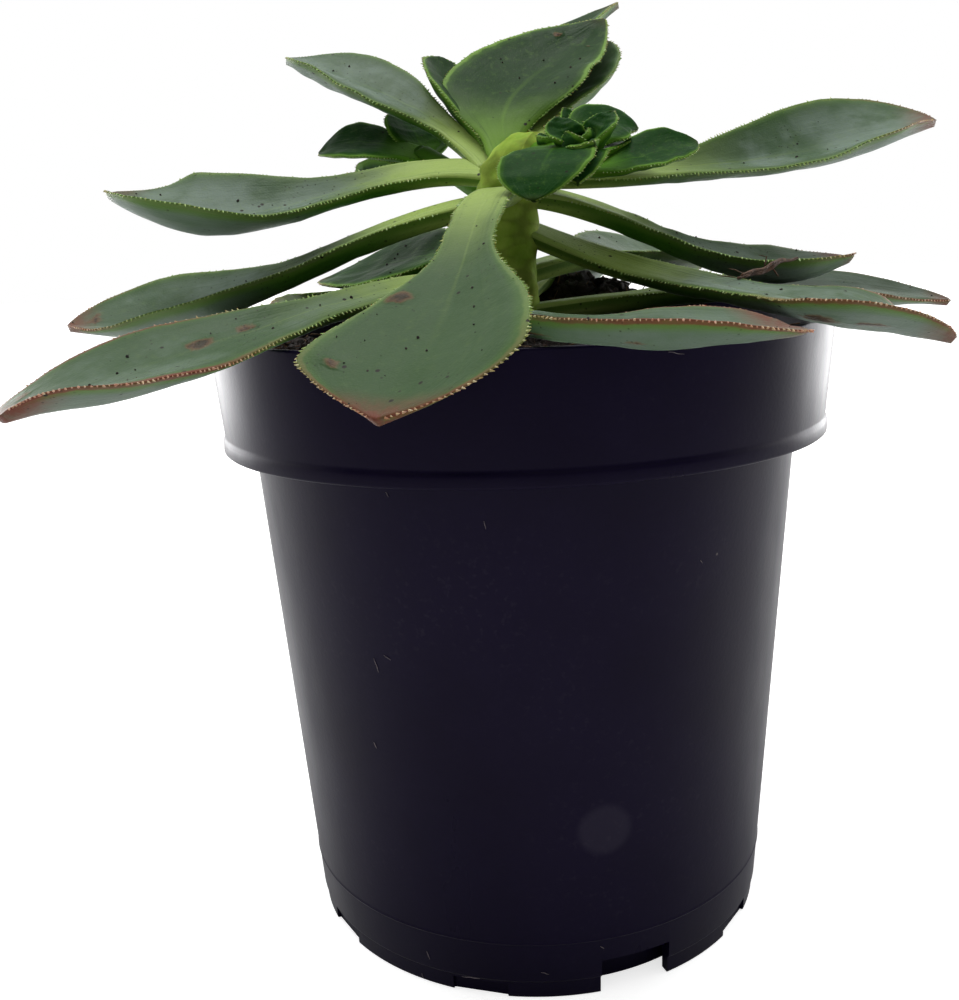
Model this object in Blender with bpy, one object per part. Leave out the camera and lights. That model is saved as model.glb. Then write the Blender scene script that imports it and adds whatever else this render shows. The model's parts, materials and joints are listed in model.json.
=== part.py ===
"""A potted pinwheel aeonium: a thin black nursery pot, its potting soil, a short fleshy stem,
long spoon-shaped leaves with folded blades, the leaning rosette at the growing tip, and one small
side rosette. All sizes below are millimetres and degrees; the meshes are built in metres, +Z up.
The origin is on the pot's axis, at the level of the surface that the pot stands on."""

import math
from collections import namedtuple

import bmesh
import bpy
from mathutils import Matrix, Vector, noise

MM = 0.001
GAP = 0.3
STALK_ROOM = 0.65

# The pot: a tapered cup with a wide collar, an 11 cm size
RIM_R = 55.0
POT_H = 108.8
COLLAR_FOOT_R = 53.7
COLLAR_Z = 89.3
BODY_TOP_R = 48.7
BODY_LOW_R = 42.9
FOOT_R = 42.4
STEP_Z = 3.4
WALL = 1.1
FOOT_WALL = 1.8
BEAD_H = 2.6
BEAD_OUT = 0.4
FLOOR_Z = 3.7
FLOOR_THICK = 1.2
SKIRT_R = 38.5
SKIRT_WALL = 1.2
POT_SIDES = 80
# Cuts in the foot: angle from the front, width and height. Drains open the floor, recesses only step in
DRAINS = [(22, 12.6, 6.5), (142, 12.6, 6.5), (-98, 12.6, 6.5)]
DRAIN_IN_R = 39.4
RECESS_ANGLES = (-57, -14, 57, 100, 182, 222)
RECESSES = [(angle, 9.5, 2.6) for angle in RECESS_ANGLES]
RECESS_IN_R = 41.5

# The soil: filled to just under the rim, heaped round the stem and behind it
SOIL_EDGE_Z = 104.6
SOIL_CROWN = 1.6
SOIL_HEAP = 3.5
SOIL_HEAP_AT = (8.0, 24.0)
SOIL_HEAP_WIDTH = 15.0
SOIL_ROUGH = 1.1
SOIL_GRAIN = 5.5
SOIL_RINGS = 13
SOIL_SIDES = 44

# The stem, from its buried foot to the neck of the leaning rosette: x, y, z and radius
STEM_POINTS = [
    (0.0, 0.0, 82.0, 4.2),
    (0.0, 0.0, 106.0, 4.3),
    (-0.8, 0.2, 116.0, 4.6),
    (-1.2, 0.4, 126.0, 5.3),
    (-0.8, 0.0, 132.5, 5.5),
    (1.2, -2.0, 136.0, 4.8),
    (4.8, -5.6, 136.8, 3.9),
]
STEM_SIDES = 14
STEM_ROOM = 0.6

# A leaf: keel four points along its middle line, from inside the stem up to the tip, roll its twist at
# root, middle and tip, fold how steeply the halves of the blade rise from the keel, broad where along
# the keel it is widest, end how full the tip is, flare how much of the keel the widening takes
NECK_SPAN = 0.48
Leaf = namedtuple("Leaf", "name keel width roll fold broad end flare", defaults=[NECK_SPAN])
LEAVES = [
    Leaf("leaf_left_low", ((-1, 0, 117), (-24, -29, 115.2), (-46, -48.8, 109.3), (-65, -67.4, 104.2)),
         24.4, (10, -25, 17), 10, 0.90, 3.6, 0.46),
    Leaf("leaf_left_mid", ((-1, 0, 130.2), (-30, -4.5, 123.2), (-55, -3, 113.9), (-80, -7, 111.7)),
         24.7, (-11, -15, -12), 26, 0.79, 3.4, 0.36),
    Leaf("leaf_left_high", ((-1, -1, 134.3), (-27, 2.5, 133.8), (-43, -4.5, 129.6), (-68.4, -10.5, 133.8)),
         29, (-22, -28, -1), 25, 0.84, 3.4, 0.48),
    Leaf("leaf_left_back",
         ((-4, 1.5, 135.5), (-12, 12.6, 143.8), (-26.2, 20.9, 152.2), (-43.2, 24.3, 159.4)),
         19.3, (-10, -24, -8), 21, 0.75, 4),
    Leaf("leaf_front", ((-1, 0, 131.2), (-5.3, -25.7, 127.2), (-9.3, -52.2, 114.3), (-17.2, -74.1, 102.9)),
         33.2, (-2, 12, -1), 17, 0.87, 1.3, 0.40),
    Leaf("leaf_front_right", ((0, 0, 110.8), (-7, -33.5, 113.4), (9.1, -57.8, 111.7), (35.8, -54.8, 110.1)),
         14.6, (21, 1, 12), 23, 0.90, 5.5, 0.28),
    Leaf("leaf_right_mid", ((-1, 0, 131.4), (22.6, 5, 124.8), (38.6, 6.2, 117.7), (61.2, 7.6, 117.4)),
         21.7, (20, 16, -1), 22, 0.89, 5.5, 0.46),
    Leaf("leaf_right_low", ((-1, 0, 126.5), (27, -9.7, 115.6), (40, -28.2, 112.6), (62.1, -42, 106.7)),
         27.8, (22, 13, -13), 11, 0.88, 1.2, 0.28),
    Leaf("leaf_right_soil", ((0, 0, 110.6), (23, 5, 112.4), (54, 12.5, 111.9), (81.5, 11, 108.5)),
         21, (0, 6, 12), 12, 0.70, 2),
    Leaf("leaf_right_high", ((0, 0, 134.5), (27.8, 6.4, 134.4), (48.2, 16.6, 135.9), (79.5, 17.4, 141.5)),
         26, (20, 39, 10), 28, 0.89, 2.4, 0.58),
    Leaf("leaf_back_right", ((-1, 1, 117), (14, 15, 120), (24, 33, 119), (40, 52, 117)),
         25, (0, 12, 24), 14, 0.68, 2),
    Leaf("leaf_back_left", ((-1, 0, 124), (-15, 12, 121.1), (-26, 22, 119.2), (-41.3, 32, 116.6)),
         23.3, (-18, -26, -12), 9, 0.60, 2.2),
    Leaf("leaf_back_rim", ((0, 0, 111.8), (-22, 14, 113.6), (-36, 28, 112.7), (-54, 42, 111.5)),
         23, (0, 0, 0), 12, 0.68, 2),
    Leaf("leaf_back_low", ((0, 0, 113.1), (5, 20, 116), (9, 42, 115.5), (14, 70, 112)),
         22, (0, 0, 0), 14, 0.68, 2),
    Leaf("leaf_back_mid", ((-1, 0, 117.8), (-10, 22, 119.3), (-16, 44, 117.5), (-22, 75, 112)),
         22, (0, 0, 0), 14, 0.68, 2),
    Leaf("leaf_top_broad", ((0.5, 0.8, 134.5), (-1.2, 9.6, 145.3), (4.6, 21.2, 153.1), (19.2, 32, 165)),
         29.6, (-7, 9, 32), 18, 0.45, 2),
    Leaf("leaf_top_left", ((-2.2, 2, 135), (-6.5, 12, 144.5), (-11, 21, 151.5), (-13.5, 29, 159)),
         13, (0, 10, 20), 20, 0.68, 3),
    Leaf("leaf_top_back", ((1, 3, 134), (3, 22, 148), (11, 40, 161.4), (23.6, 51, 171.6)),
         15, (0, 0, 0), 20, 0.66, 2),
    Leaf("leaf_top_right", ((2.2, 1.4, 135.4), (6, 10, 143.6), (14, 24, 151.6), (20, 33, 161)),
         13, (0, 0, 0), 14, 0.68, 2.6),
]
# Where two stalks press together at the stem, the first one gives way to the second
GIVES_WAY = [
    ("leaf_left_back", "leaf_left_high"),
    ("leaf_left_back", "leaf_top_broad"),
    ("leaf_left_high", "leaf_top_broad"),
    ("leaf_top_right", "leaf_right_high"),
    ("leaf_top_broad", "leaf_right_high"),
    ("leaf_top_back", "leaf_right_high"),
    ("leaf_top_right", "leaf_top_broad"),
    ("leaf_top_left", "leaf_top_broad"),
    ("leaf_top_left", "leaf_left_back"),
    ("leaf_top_back", "leaf_top_broad"),
    ("leaf_top_back", "leaf_top_right"),
    ("leaf_top_back", "leaf_top_left"),
    ("leaf_left_mid", "leaf_front"),
]
NECK_LEAST = 0.12
# Share of the width at the root, thickness of the stalk, of the blade and of its margin
BIG_KIND = (0.25, 3.6, 3.0, 0.8)
SMALL_KIND = (0.5, 2.2, 1.9, 0.9)
LEAF_STATIONS = (0.0, 0.07, 0.16, 0.26, 0.36, 0.46, 0.56, 0.66, 0.75, 0.83, 0.9, 0.95, 0.985, 1.0)
SMALL_STATIONS = (0.0, 0.14, 0.3, 0.45, 0.6, 0.75, 0.88, 0.96, 1.0)
LEAF_ACROSS = (-1.0, -0.5, 0.0, 0.5, 1.0)
CREASE_DEG = 50

# The leaning rosette: a short neck, a dome, and small leaves given by four keel points
CROWN_NECK = [
    (3.0, -3.6, 136.0, 3.2),
    (7.0, -8.0, 135.8, 3.3),
    (10.0, -11.6, 136.0, 3.0),
    (11.0, -13.6, 137.2, 1.4),
]
Small = namedtuple("Small", "keel width roll fold broad end flare", defaults=[NECK_SPAN])
CROWN_LEAVES = [
    Small(((9, -10, 137), (7.2, -16, 137), (4.8, -22, 133.8), (3, -26, 128.6)),
          15.5, (0, 0, 0), 4, 0.55, 2.8),
    Small(((11, -11, 134.6), (18.6, -11, 134.6), (25, -10, 136.2), (31, -8, 137.6)),
          12, (20, 28, 36), 16, 0.55, 2.6),
    Small(((11, -9, 137.4), (14.6, -5, 140.6), (18, -3, 141.6), (21.8, -2, 140.6)),
          12.5, (20, 30, 40), 10, 0.5, 1.9),
    Small(((11.6, -14, 135.6), (13.8, -15, 138.2), (15.3, -14, 140.6), (16.6, -13, 142.6)),
          7.5, (0, 10, 20), 26, 0.5, 1.7),
    Small(((10, -13, 135.6), (8.8, -15, 137.9), (8, -14, 140), (7.2, -13, 142.2)),
          7.5, (0, -10, -20), 22, 0.5, 1.8),
    Small(((10.2, -12, 136.6), (9.8, -17, 135.8), (9.9, -21, 133.6), (10, -24.5, 131)),
          12, (0, 0, 0), 20, 0.4, 1.5),
    Small(((10.4, -8, 137.4), (10.3, -2, 140.6), (9.9, -1, 142.9), (9.3, 0, 145)),
          6, (0, 0, 0), 20, 0.5, 1.8),
    Small(((9, -9, 136.6), (7, -8, 138), (5.8, -8, 138.8), (4.9, -7, 140.2)), 5, (0, 0, 0), 20, 0.5, 1.8),
    Small(((10.7, -13, 136), (11.5, -15, 137.6), (12.2, -15, 138.8), (12.6, -15, 140)),
          5, (0, 0, 0), 22, 0.5, 1.8),
    Small(((10.6, -13.6, 136), (9.6, -16.4, 137), (9.1, -17.6, 138.2), (8.8, -18, 139.4)),
          5, (0, 0, 0), 22, 0.5, 1.8),
    Small(((10.8, -13.6, 136), (11.4, -18, 136.4), (12, -20.4, 136.8), (12.8, -21.6, 137.4)),
          6, (0, 10, 20), 22, 0.5, 1.8),
    Small(((12, -10, 136), (16.5, -6, 137.2), (21, -1.5, 138), (25, 3, 138.2)), 9, (0, 0, 0), 16, 0.6, 2.2),
]

# The side rosette, on a thin shoot of its own
SIDE_SHOOT = [
    (-1.0, 0.4, 128.4, 1.6),
    (-6.0, 7.0, 131.6, 1.6),
    (-12.0, 14.0, 136.5, 1.9),
    (-17.0, 18.6, 139.4, 2.2),
    (-18.0, 19.4, 141.0, 1.2),
]
SIDE_LEAVES = [
    Small(((-17, 18.5, 139.5), (-24, 18, 141.5), (-31, 18, 142.3), (-37.4, 19, 141)),
          15, (-30, -30, -30), 10, 0.6, 2.0),
    Small(((-16.5, 20, 139), (-18.5, 23.5, 143), (-20.5, 26, 146), (-23, 28, 148.6)),
          14, (0, 0, 0), 14, 0.55, 2.4),
    Small(((-17, 19, 139), (-16, 24, 141), (-14.6, 29, 143), (-13, 33, 144)), 9, (0, 0, 0), 20, 0.6, 2.2),
    Small(((-17, 18, 139), (-22, 24, 138.5), (-27, 29, 138.6), (-32, 33, 138)), 9, (0, 0, 0), 20, 0.6, 2.2),
]

COLOURS = {
    "black_plastic": ((0.018, 0.017, 0.024, 1.0), 0.42),
    "potting_soil": ((0.035, 0.02, 0.013, 1.0), 0.95),
    "stem_green": ((0.30, 0.38, 0.13, 1.0), 0.5),
    "leaf_green": ((0.09, 0.20, 0.09, 1.0), 0.45),
}


def clear_scene():
    for obj in list(bpy.data.objects):
        bpy.data.objects.remove(obj)


def material(name):
    found = bpy.data.materials.get(name)
    if found:
        return found
    made = bpy.data.materials.new(name)
    made.use_nodes = True
    shader = made.node_tree.nodes["Principled BSDF"]
    colour, roughness = COLOURS[name]
    shader.inputs["Base Color"].default_value = colour
    shader.inputs["Roughness"].default_value = roughness
    shader.inputs["Metallic"].default_value = 0.0
    return made


def add_object(name, bm, finish):
    """A bmesh in millimetres becomes a named object in metres."""
    bmesh.ops.scale(bm, vec=(MM, MM, MM), verts=bm.verts)
    mesh = bpy.data.meshes.new(name)
    bm.to_mesh(mesh)
    bm.free()
    mesh.materials.append(material(finish))
    mesh.shade_smooth()
    obj = bpy.data.objects.new(name, mesh)
    bpy.context.scene.collection.objects.link(obj)
    return obj


def loft(rings, cap_start=True, cap_end=True):
    """A closed skin through rings of points that all have the same count."""
    bm = bmesh.new()
    rows = [[bm.verts.new(point) for point in ring] for ring in rings]
    count = len(rows[0])
    for low, high in zip(rows, rows[1:]):
        for i in range(count):
            j = (i + 1) % count
            bm.faces.new((low[i], low[j], high[j], high[i]))
    if cap_start:
        bm.faces.new(rows[0][::-1])
    if cap_end:
        bm.faces.new(rows[-1])
    bmesh.ops.recalc_face_normals(bm, faces=bm.faces)
    return bm


def smoothstep(low, high, x):
    t = min(1.0, max(0.0, (x - low) / (high - low)))
    return t * t * (3 - 2 * t)


def skins_of(bm):
    """The sets of points that edges join, smallest first."""
    left = set(bm.verts)
    skins = []
    while left:
        skin = set()
        front = [left.pop()]
        while front:
            vert = front.pop()
            skin.add(vert)
            near = [edge.other_vert(vert) for edge in vert.link_edges]
            fresh = [other for other in near if other in left]
            left.difference_update(fresh)
            front.extend(fresh)
        skins.append(skin)
    return sorted(skins, key=len)


def drop_scraps(obj):
    """A cut between two close stalks can leave loose scraps, so only the largest skin stays."""
    bm = bmesh.new()
    bm.from_mesh(obj.data)
    for scrap in skins_of(bm)[:-1]:
        bmesh.ops.delete(bm, geom=list(scrap), context="VERTS")
    bm.to_mesh(obj.data)
    bm.free()


def keep_result(obj):
    """The object's modified mesh takes the place of its own mesh and modifiers."""
    bpy.context.view_layer.update()
    graph = bpy.context.evaluated_depsgraph_get()
    mesh = bpy.data.meshes.new_from_object(obj.evaluated_get(graph))
    obj.modifiers.clear()
    old = obj.data
    obj.data = mesh
    bpy.data.meshes.remove(old)


def subtract(obj, cutter, solver):
    """Cuts one object from another at once, and keeps the cut mesh."""
    modifier = obj.modifiers.new("cut", "BOOLEAN")
    modifier.operation = "DIFFERENCE"
    modifier.solver = solver
    modifier.object = cutter
    keep_result(obj)
    drop_scraps(obj)


def tube_rings(points, sides, grow=0.0):
    """Rings square to a path of (x, y, z, radius) points."""
    centres = [Vector(p[:3]) for p in points]
    rings = []
    side = Vector((1, 0, 0))
    for i, centre in enumerate(centres):
        before = centres[max(i - 1, 0)]
        after = centres[min(i + 1, len(centres) - 1)]
        along = (after - before).normalized()
        side = (side - along * side.dot(along)).normalized()
        other = along.cross(side)
        radius = points[i][3] + grow
        ring = []
        for k in range(sides):
            angle = 2 * math.pi * k / sides
            ring.append(centre + radius * (math.cos(angle) * side + math.sin(angle) * other))
        rings.append(ring)
    return rings


def along_keel(points, t):
    """The smooth curve through the keel's points, spaced by the distances between them."""
    knots = [0.0]
    for p, q in zip(points, points[1:]):
        knots.append(knots[-1] + (q - p).length)
    t *= knots[-1]
    found = Vector()
    for i, point in enumerate(points):
        weight = 1.0
        for j, knot in enumerate(knots):
            if j != i:
                weight *= (t - knot) / (knots[i] - knot)
        found += point * weight
    return found


def leaf_half_width(leaf, v, neck):
    """Half the blade's width along it: a narrow stalk, a broad shoulder and a short point."""
    share = neck + (1 - neck) * smoothstep(max(NECK_LEAST, leaf.broad - leaf.flare), leaf.broad, v)
    if v > leaf.broad:
        q = (v - leaf.broad) / (1 - leaf.broad)
        share *= max(0.0, 1 - q**leaf.end) ** 0.8
    return max(0.35, share * leaf.width / 2)


def twist_at(leaf, v):
    """The leaf's twist in radians, through its values at the root, the middle and the tip."""
    root, middle, tip = leaf.roll
    return math.radians(root * (1 - v) * (1 - 2 * v) + 4 * middle * v * (1 - v) + tip * v * (2 * v - 1))


def leaf_frame(leaf, points, v):
    """Position, side and up vectors at a share of the keel's length."""
    here = along_keel(points, v)
    along = (along_keel(points, min(v + 0.01, 1.02)) - along_keel(points, v - 0.01)).normalized()
    side = Vector((-along.y, along.x, 0)).normalized()
    side = Matrix.Rotation(twist_at(leaf, v), 3, along) @ side
    return here, side, along.cross(side)


def leaf_section(leaf, v, side, up, kind, grow):
    """One ring round the leaf: over the top from side to side, then back underneath."""
    neck, stalk, blade, edge = kind
    half = leaf_half_width(leaf, v, neck)
    fold = math.radians(leaf.fold) * smoothstep(0.05, 0.55, v) * (1 - 0.5 * smoothstep(0.8, 1.0, v))
    middle = stalk + (blade - stalk) * smoothstep(0.1, 0.5, v)
    middle *= 1 - 0.55 * smoothstep(0.8, 1.0, v)
    margin = min(edge + (stalk * 0.45 - edge) * (1 - smoothstep(0.0, 0.3, v)), middle)
    margin *= 1 - 0.4 * smoothstep(0.8, 1.0, v)
    top, under = [], []
    for s in LEAF_ACROSS:
        rise = half * (math.sqrt(s * s + 0.04) - 0.2) * math.sin(fold)
        out = (half + grow) * s * math.cos(fold)
        thick = margin + (middle - margin) * (1 - abs(s) ** 2.2)
        top.append(side * out + up * (rise + margin * 0.5 + grow))
        under.append(side * out + up * (rise + margin * 0.5 - thick - grow))
    return top + under[::-1]


def leaf_mesh(leaf, points, kind, stations, grow=0.0):
    rings = []
    for v in stations:
        here, side, up = leaf_frame(leaf, points, v)
        rings.append([here + offset for offset in leaf_section(leaf, v, side, up, kind, grow)])
    return loft(rings)


def big_leaf_mesh(leaf, grow=0.0):
    points = [Vector(p) for p in leaf.keel]
    return leaf_mesh(leaf, points, BIG_KIND, LEAF_STATIONS, grow)


def build_leaf(leaf, stem_room):
    obj = add_object(leaf.name, big_leaf_mesh(leaf), "leaf_green")
    subtract(obj, stem_room, "MANIFOLD")
    for first, second in GIVES_WAY:
        if first == leaf.name:
            other = next(one for one in LEAVES if one.name == second)
            room = add_object("stalk_room", big_leaf_mesh(other, STALK_ROOM), "leaf_green")
            subtract(obj, room, "MANIFOLD")
            bpy.data.objects.remove(room)
    return obj


def build_rosette(name, neck, leaves, stem_room):
    """A fused bunch: the neck and its small leaves joined in one union, clear of the stem."""
    body = add_object(name, loft(tube_rings(neck, 10)), "leaf_green")
    parts = bpy.data.collections.new(name + "_leaves")
    bpy.context.scene.collection.children.link(parts)
    for i, leaf in enumerate(leaves):
        points = [Vector(p) for p in leaf.keel]
        piece = add_object(f"{name}_{i}", leaf_mesh(leaf, points, SMALL_KIND, SMALL_STATIONS), "leaf_green")
        bpy.context.scene.collection.objects.unlink(piece)
        parts.objects.link(piece)
    union = body.modifiers.new("join", "BOOLEAN")
    union.operation = "UNION"
    union.solver = "MANIFOLD"
    union.operand_type = "COLLECTION"
    union.collection = parts
    keep_result(body)
    for piece in list(parts.objects):
        bpy.data.objects.remove(piece)
    bpy.data.collections.remove(parts)
    subtract(body, stem_room, "MANIFOLD")
    return body


def build_stem():
    return add_object("stem", loft(tube_rings(STEM_POINTS, STEM_SIDES)), "stem_green")


def stem_clearance():
    x, y, z, radius = STEM_POINTS[0]
    points = [(x, y, z - GAP, radius)] + STEM_POINTS[1:]
    last, before = Vector(points[-1][:3]), Vector(points[-2][:3])
    beyond = last + (last - before).normalized() * GAP
    points.append((beyond.x, beyond.y, beyond.z, points[-1][3]))
    room = add_object("stem_room", loft(tube_rings(points, STEM_SIDES, STEM_ROOM)), "stem_green")
    room.hide_render = True
    room.display_type = "WIRE"
    return room


def pot_outline():
    """The pot's wall from the middle of its underside, out and over the rim, and back to the floor."""
    slope = (BODY_TOP_R - BODY_LOW_R) / (COLLAR_Z - STEP_Z)
    floor_top = FLOOR_Z + FLOOR_THICK
    underside = [
        (SKIRT_R - SKIRT_WALL, FLOOR_Z),
        (SKIRT_R - SKIRT_WALL, 0.0),
        (SKIRT_R, 0.0),
        (SKIRT_R, FLOOR_Z),
        (FOOT_R - FOOT_WALL, FLOOR_Z),
        (FOOT_R - FOOT_WALL, 0.0),
    ]
    outside = [
        (FOOT_R - 0.4, 0.0),
        (FOOT_R, 0.4),
        (FOOT_R + 0.1, STEP_Z - 0.3),
        (BODY_LOW_R, STEP_Z),
        (BODY_TOP_R, COLLAR_Z + 0.2),
        (COLLAR_FOOT_R + BEAD_OUT - 0.3, COLLAR_Z),
        (COLLAR_FOOT_R + BEAD_OUT, COLLAR_Z + 0.4),
        (COLLAR_FOOT_R + BEAD_OUT - 0.1, COLLAR_Z + BEAD_H - 0.6),
        (COLLAR_FOOT_R, COLLAR_Z + BEAD_H),
        (RIM_R, POT_H - 0.5),
        (RIM_R - 0.35, POT_H),
    ]
    inside = [
        (RIM_R - WALL + 0.2, POT_H),
        (RIM_R - WALL, POT_H - 0.5),
        (COLLAR_FOOT_R - WALL, COLLAR_Z + WALL + 0.6),
        (COLLAR_FOOT_R - WALL - 0.5, COLLAR_Z + WALL),
        (BODY_TOP_R - WALL, COLLAR_Z + WALL - 0.6),
        (BODY_LOW_R - WALL + slope * (floor_top + 1 - STEP_Z), floor_top + 1.0),
        (BODY_LOW_R - WALL - 1.0, floor_top),
    ]
    return underside + outside + inside


def spin(profile, sides):
    """A body turned about Z from an outline that starts and ends at flat faces across the axis."""
    bm = bmesh.new()
    angles = [2 * math.pi * i / sides for i in range(sides)]
    rows = [[bm.verts.new((r * math.cos(a), r * math.sin(a), z)) for a in angles] for r, z in profile]
    for near, far in zip(rows, rows[1:]):
        for i in range(sides):
            j = (i + 1) % sides
            bm.faces.new((near[i], near[j], far[j], far[i]))
    bm.faces.new(rows[0][::-1])
    bm.faces.new(rows[-1])
    bmesh.ops.recalc_face_normals(bm, faces=bm.faces)
    return bm


def foot_cuts(name, cuts, inner_r):
    """Blocks round the foot, each at its angle from the front."""
    bm = bmesh.new()
    depth = FOOT_R + 5 - inner_r
    for angle, width, height in cuts:
        place = (
            Matrix.Rotation(math.radians(angle - 90), 4, "Z")
            @ Matrix.Translation((inner_r + depth / 2, 0, height / 2 - 1))
            @ Matrix.Diagonal((depth, width, height + 2, 1))
        )
        bmesh.ops.create_cube(bm, size=1, matrix=place)
    return add_object(name, bm, "black_plastic")


def build_pot():
    pot = add_object("pot", spin(pot_outline(), POT_SIDES), "black_plastic")
    for cuts, inner_r in ((DRAINS, DRAIN_IN_R), (RECESSES, RECESS_IN_R)):
        cutter = foot_cuts("foot_cuts", cuts, inner_r)
        subtract(pot, cutter, "EXACT")
        bpy.data.objects.remove(cutter)
    return pot


def soil_height(x, y):
    """Height of the soil: heaped round the stem and behind it, with rough crumbs."""
    reach = (x * x + y * y) / (RIM_R * RIM_R)
    hx, hy = SOIL_HEAP_AT
    heap = SOIL_HEAP * math.exp(-((x - hx) ** 2 + (y - hy) ** 2) / (2 * SOIL_HEAP_WIDTH**2))
    rough = SOIL_ROUGH * noise.noise(Vector((x / SOIL_GRAIN, y / SOIL_GRAIN, 3.7)))
    rough += SOIL_ROUGH * 0.6 * noise.noise(Vector((x / (SOIL_GRAIN * 0.45), y / (SOIL_GRAIN * 0.45), 9.1)))
    return SOIL_EDGE_Z + SOIL_CROWN * (1 - reach) + heap + rough


def build_soil(stem_room):
    slope = (BODY_TOP_R - BODY_LOW_R) / (COLLAR_Z - STEP_Z)
    base_z = FLOOR_Z + FLOOR_THICK + GAP
    shelf_z = COLLAR_Z + WALL + GAP
    bottom = [
        (BODY_LOW_R - WALL - GAP - 1.2, base_z),
        (BODY_LOW_R - WALL - GAP - 0.1 + slope * (base_z + 1.4 - STEP_Z), base_z + 1.4),
        (BODY_TOP_R - WALL - GAP, shelf_z - 0.4),
        (COLLAR_FOOT_R - WALL - 0.8 - GAP, shelf_z + 0.2),
    ]
    bm = bmesh.new()
    angles = [2 * math.pi * i / SOIL_SIDES for i in range(SOIL_SIDES)]
    rows = [[bm.verts.new((r * math.cos(a), r * math.sin(a), z)) for a in angles] for r, z in bottom]
    top_r = RIM_R - WALL - GAP - 0.4
    for k in range(SOIL_RINGS):
        r = top_r * (1 - k / SOIL_RINGS)
        ring = [(r * math.cos(a), r * math.sin(a)) for a in angles]
        rows.append([bm.verts.new((x, y, soil_height(x, y))) for x, y in ring])
    for near, far in zip(rows, rows[1:]):
        for i in range(SOIL_SIDES):
            j = (i + 1) % SOIL_SIDES
            bm.faces.new((near[i], near[j], far[j], far[i]))
    crown = bm.verts.new((0, 0, soil_height(0, 0)))
    last = rows[-1]
    for i in range(SOIL_SIDES):
        bm.faces.new((last[i], last[(i + 1) % SOIL_SIDES], crown))
    bm.faces.new(rows[0][::-1])
    bmesh.ops.recalc_face_normals(bm, faces=bm.faces)
    soil = add_object("soil", bm, "potting_soil")
    subtract(soil, stem_room, "EXACT")
    return soil


def main():
    clear_scene()
    build_pot()
    room = stem_clearance()
    build_stem()
    build_soil(room)
    for leaf in LEAVES:
        build_leaf(leaf, room)
    build_rosette("crown_rosette", CROWN_NECK, CROWN_LEAVES, room)
    build_rosette("side_rosette", SIDE_SHOOT, SIDE_LEAVES, room)
    bpy.data.objects.remove(room)
    for obj in bpy.data.objects:
        obj.data.set_sharp_from_angle(angle=math.radians(CREASE_DEG))


main()
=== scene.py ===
# %% [markdown]
# # A potted pinwheel aeonium
# A young succulent stands in a thin black nursery pot. Long spoon-shaped leaves spread from a short
# fleshy stem, a small rosette leans out at the growing tip, and a side rosette sits on its own shoot.
# The solids of the pot, the soil, the stem and every leaf come in first as a fixed frame. Each of them
# is then replaced by a finer piece of the same form, because the solids carry no hairs, pores or veins.

# %% Load the frame
import json
import math
import random
from collections import namedtuple
from functools import partial

import bmesh
import bpy
from mathutils import Matrix, Vector, noise
from mathutils.bvhtree import BVHTree

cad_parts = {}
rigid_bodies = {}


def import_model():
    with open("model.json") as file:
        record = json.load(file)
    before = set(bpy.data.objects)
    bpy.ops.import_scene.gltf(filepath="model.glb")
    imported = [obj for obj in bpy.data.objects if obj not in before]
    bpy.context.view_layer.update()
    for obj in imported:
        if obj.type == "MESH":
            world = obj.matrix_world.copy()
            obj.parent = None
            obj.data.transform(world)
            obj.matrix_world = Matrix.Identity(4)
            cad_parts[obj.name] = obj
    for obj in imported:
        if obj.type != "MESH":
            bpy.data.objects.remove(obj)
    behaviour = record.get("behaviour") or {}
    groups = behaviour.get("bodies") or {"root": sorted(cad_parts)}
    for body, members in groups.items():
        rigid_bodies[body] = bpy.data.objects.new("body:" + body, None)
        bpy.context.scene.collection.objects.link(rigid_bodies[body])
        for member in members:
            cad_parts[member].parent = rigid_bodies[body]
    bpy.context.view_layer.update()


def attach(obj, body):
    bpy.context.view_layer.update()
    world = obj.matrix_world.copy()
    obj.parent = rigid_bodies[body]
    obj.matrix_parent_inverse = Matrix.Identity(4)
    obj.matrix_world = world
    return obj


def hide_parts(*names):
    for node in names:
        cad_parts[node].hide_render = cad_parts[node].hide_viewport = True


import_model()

MM = 0.001
WHITE = (1, 1, 1, 1)

# %% [markdown]
# Everything that follows adds objects and nodes, so their helpers come first. One links new data into
# the scene, one applies modifiers, and one adds a node with all its inputs in a single call.

# %% Objects and nodes


def link(name, data):
    """A new object in the scene that holds this data."""
    obj = bpy.data.objects.new(name, data)
    bpy.context.scene.collection.objects.link(obj)
    return obj


def feed(tree, node, inputs):
    """Gives inputs of a node their values, or a link where the value is a socket."""
    for key, value in inputs.items():
        if isinstance(value, bpy.types.NodeSocket):
            tree.links.new(value, node.inputs[key])
        elif value is not None:
            node.inputs[key].default_value = value


def baked(obj):
    """The object's mesh with its modifiers applied."""
    bpy.context.view_layer.update()
    graph = bpy.context.evaluated_depsgraph_get()
    return bpy.data.meshes.new_from_object(obj.evaluated_get(graph), depsgraph=graph)


def wire(tree, kind, output=None, inputs=None, **settings):
    """Adds a node, sets its properties, feeds its inputs and returns one of its outputs."""
    node = tree.nodes.new(kind)
    for key, value in settings.items():
        setattr(node, key, value)
    feed(tree, node, inputs or {})
    return None if output is None else node.outputs[output]


print("object and node helpers ready")

# %% [markdown]
# ## The camera
# The pot's three ellipses (rim, collar and foot) fix where the photographer stood: 200 mm in front of
# the axis and a little above the rim, looking down by 13 degrees. So near a view makes the leaves that
# reach forward look large, which is why the distance matters more than the focal length.

# %% Camera
CAMERA_AT = Vector((0.0, -0.200, 0.122))
PITCH, ROLL, YAW = (math.radians(d) for d in (13.06, -2.57, -2.43))
FOCAL_PX, PICTURE_WIDE, PICTURE_HIGH, SENSOR_MM = 1087.0, 959.0, 1000.0, 36.0


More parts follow.
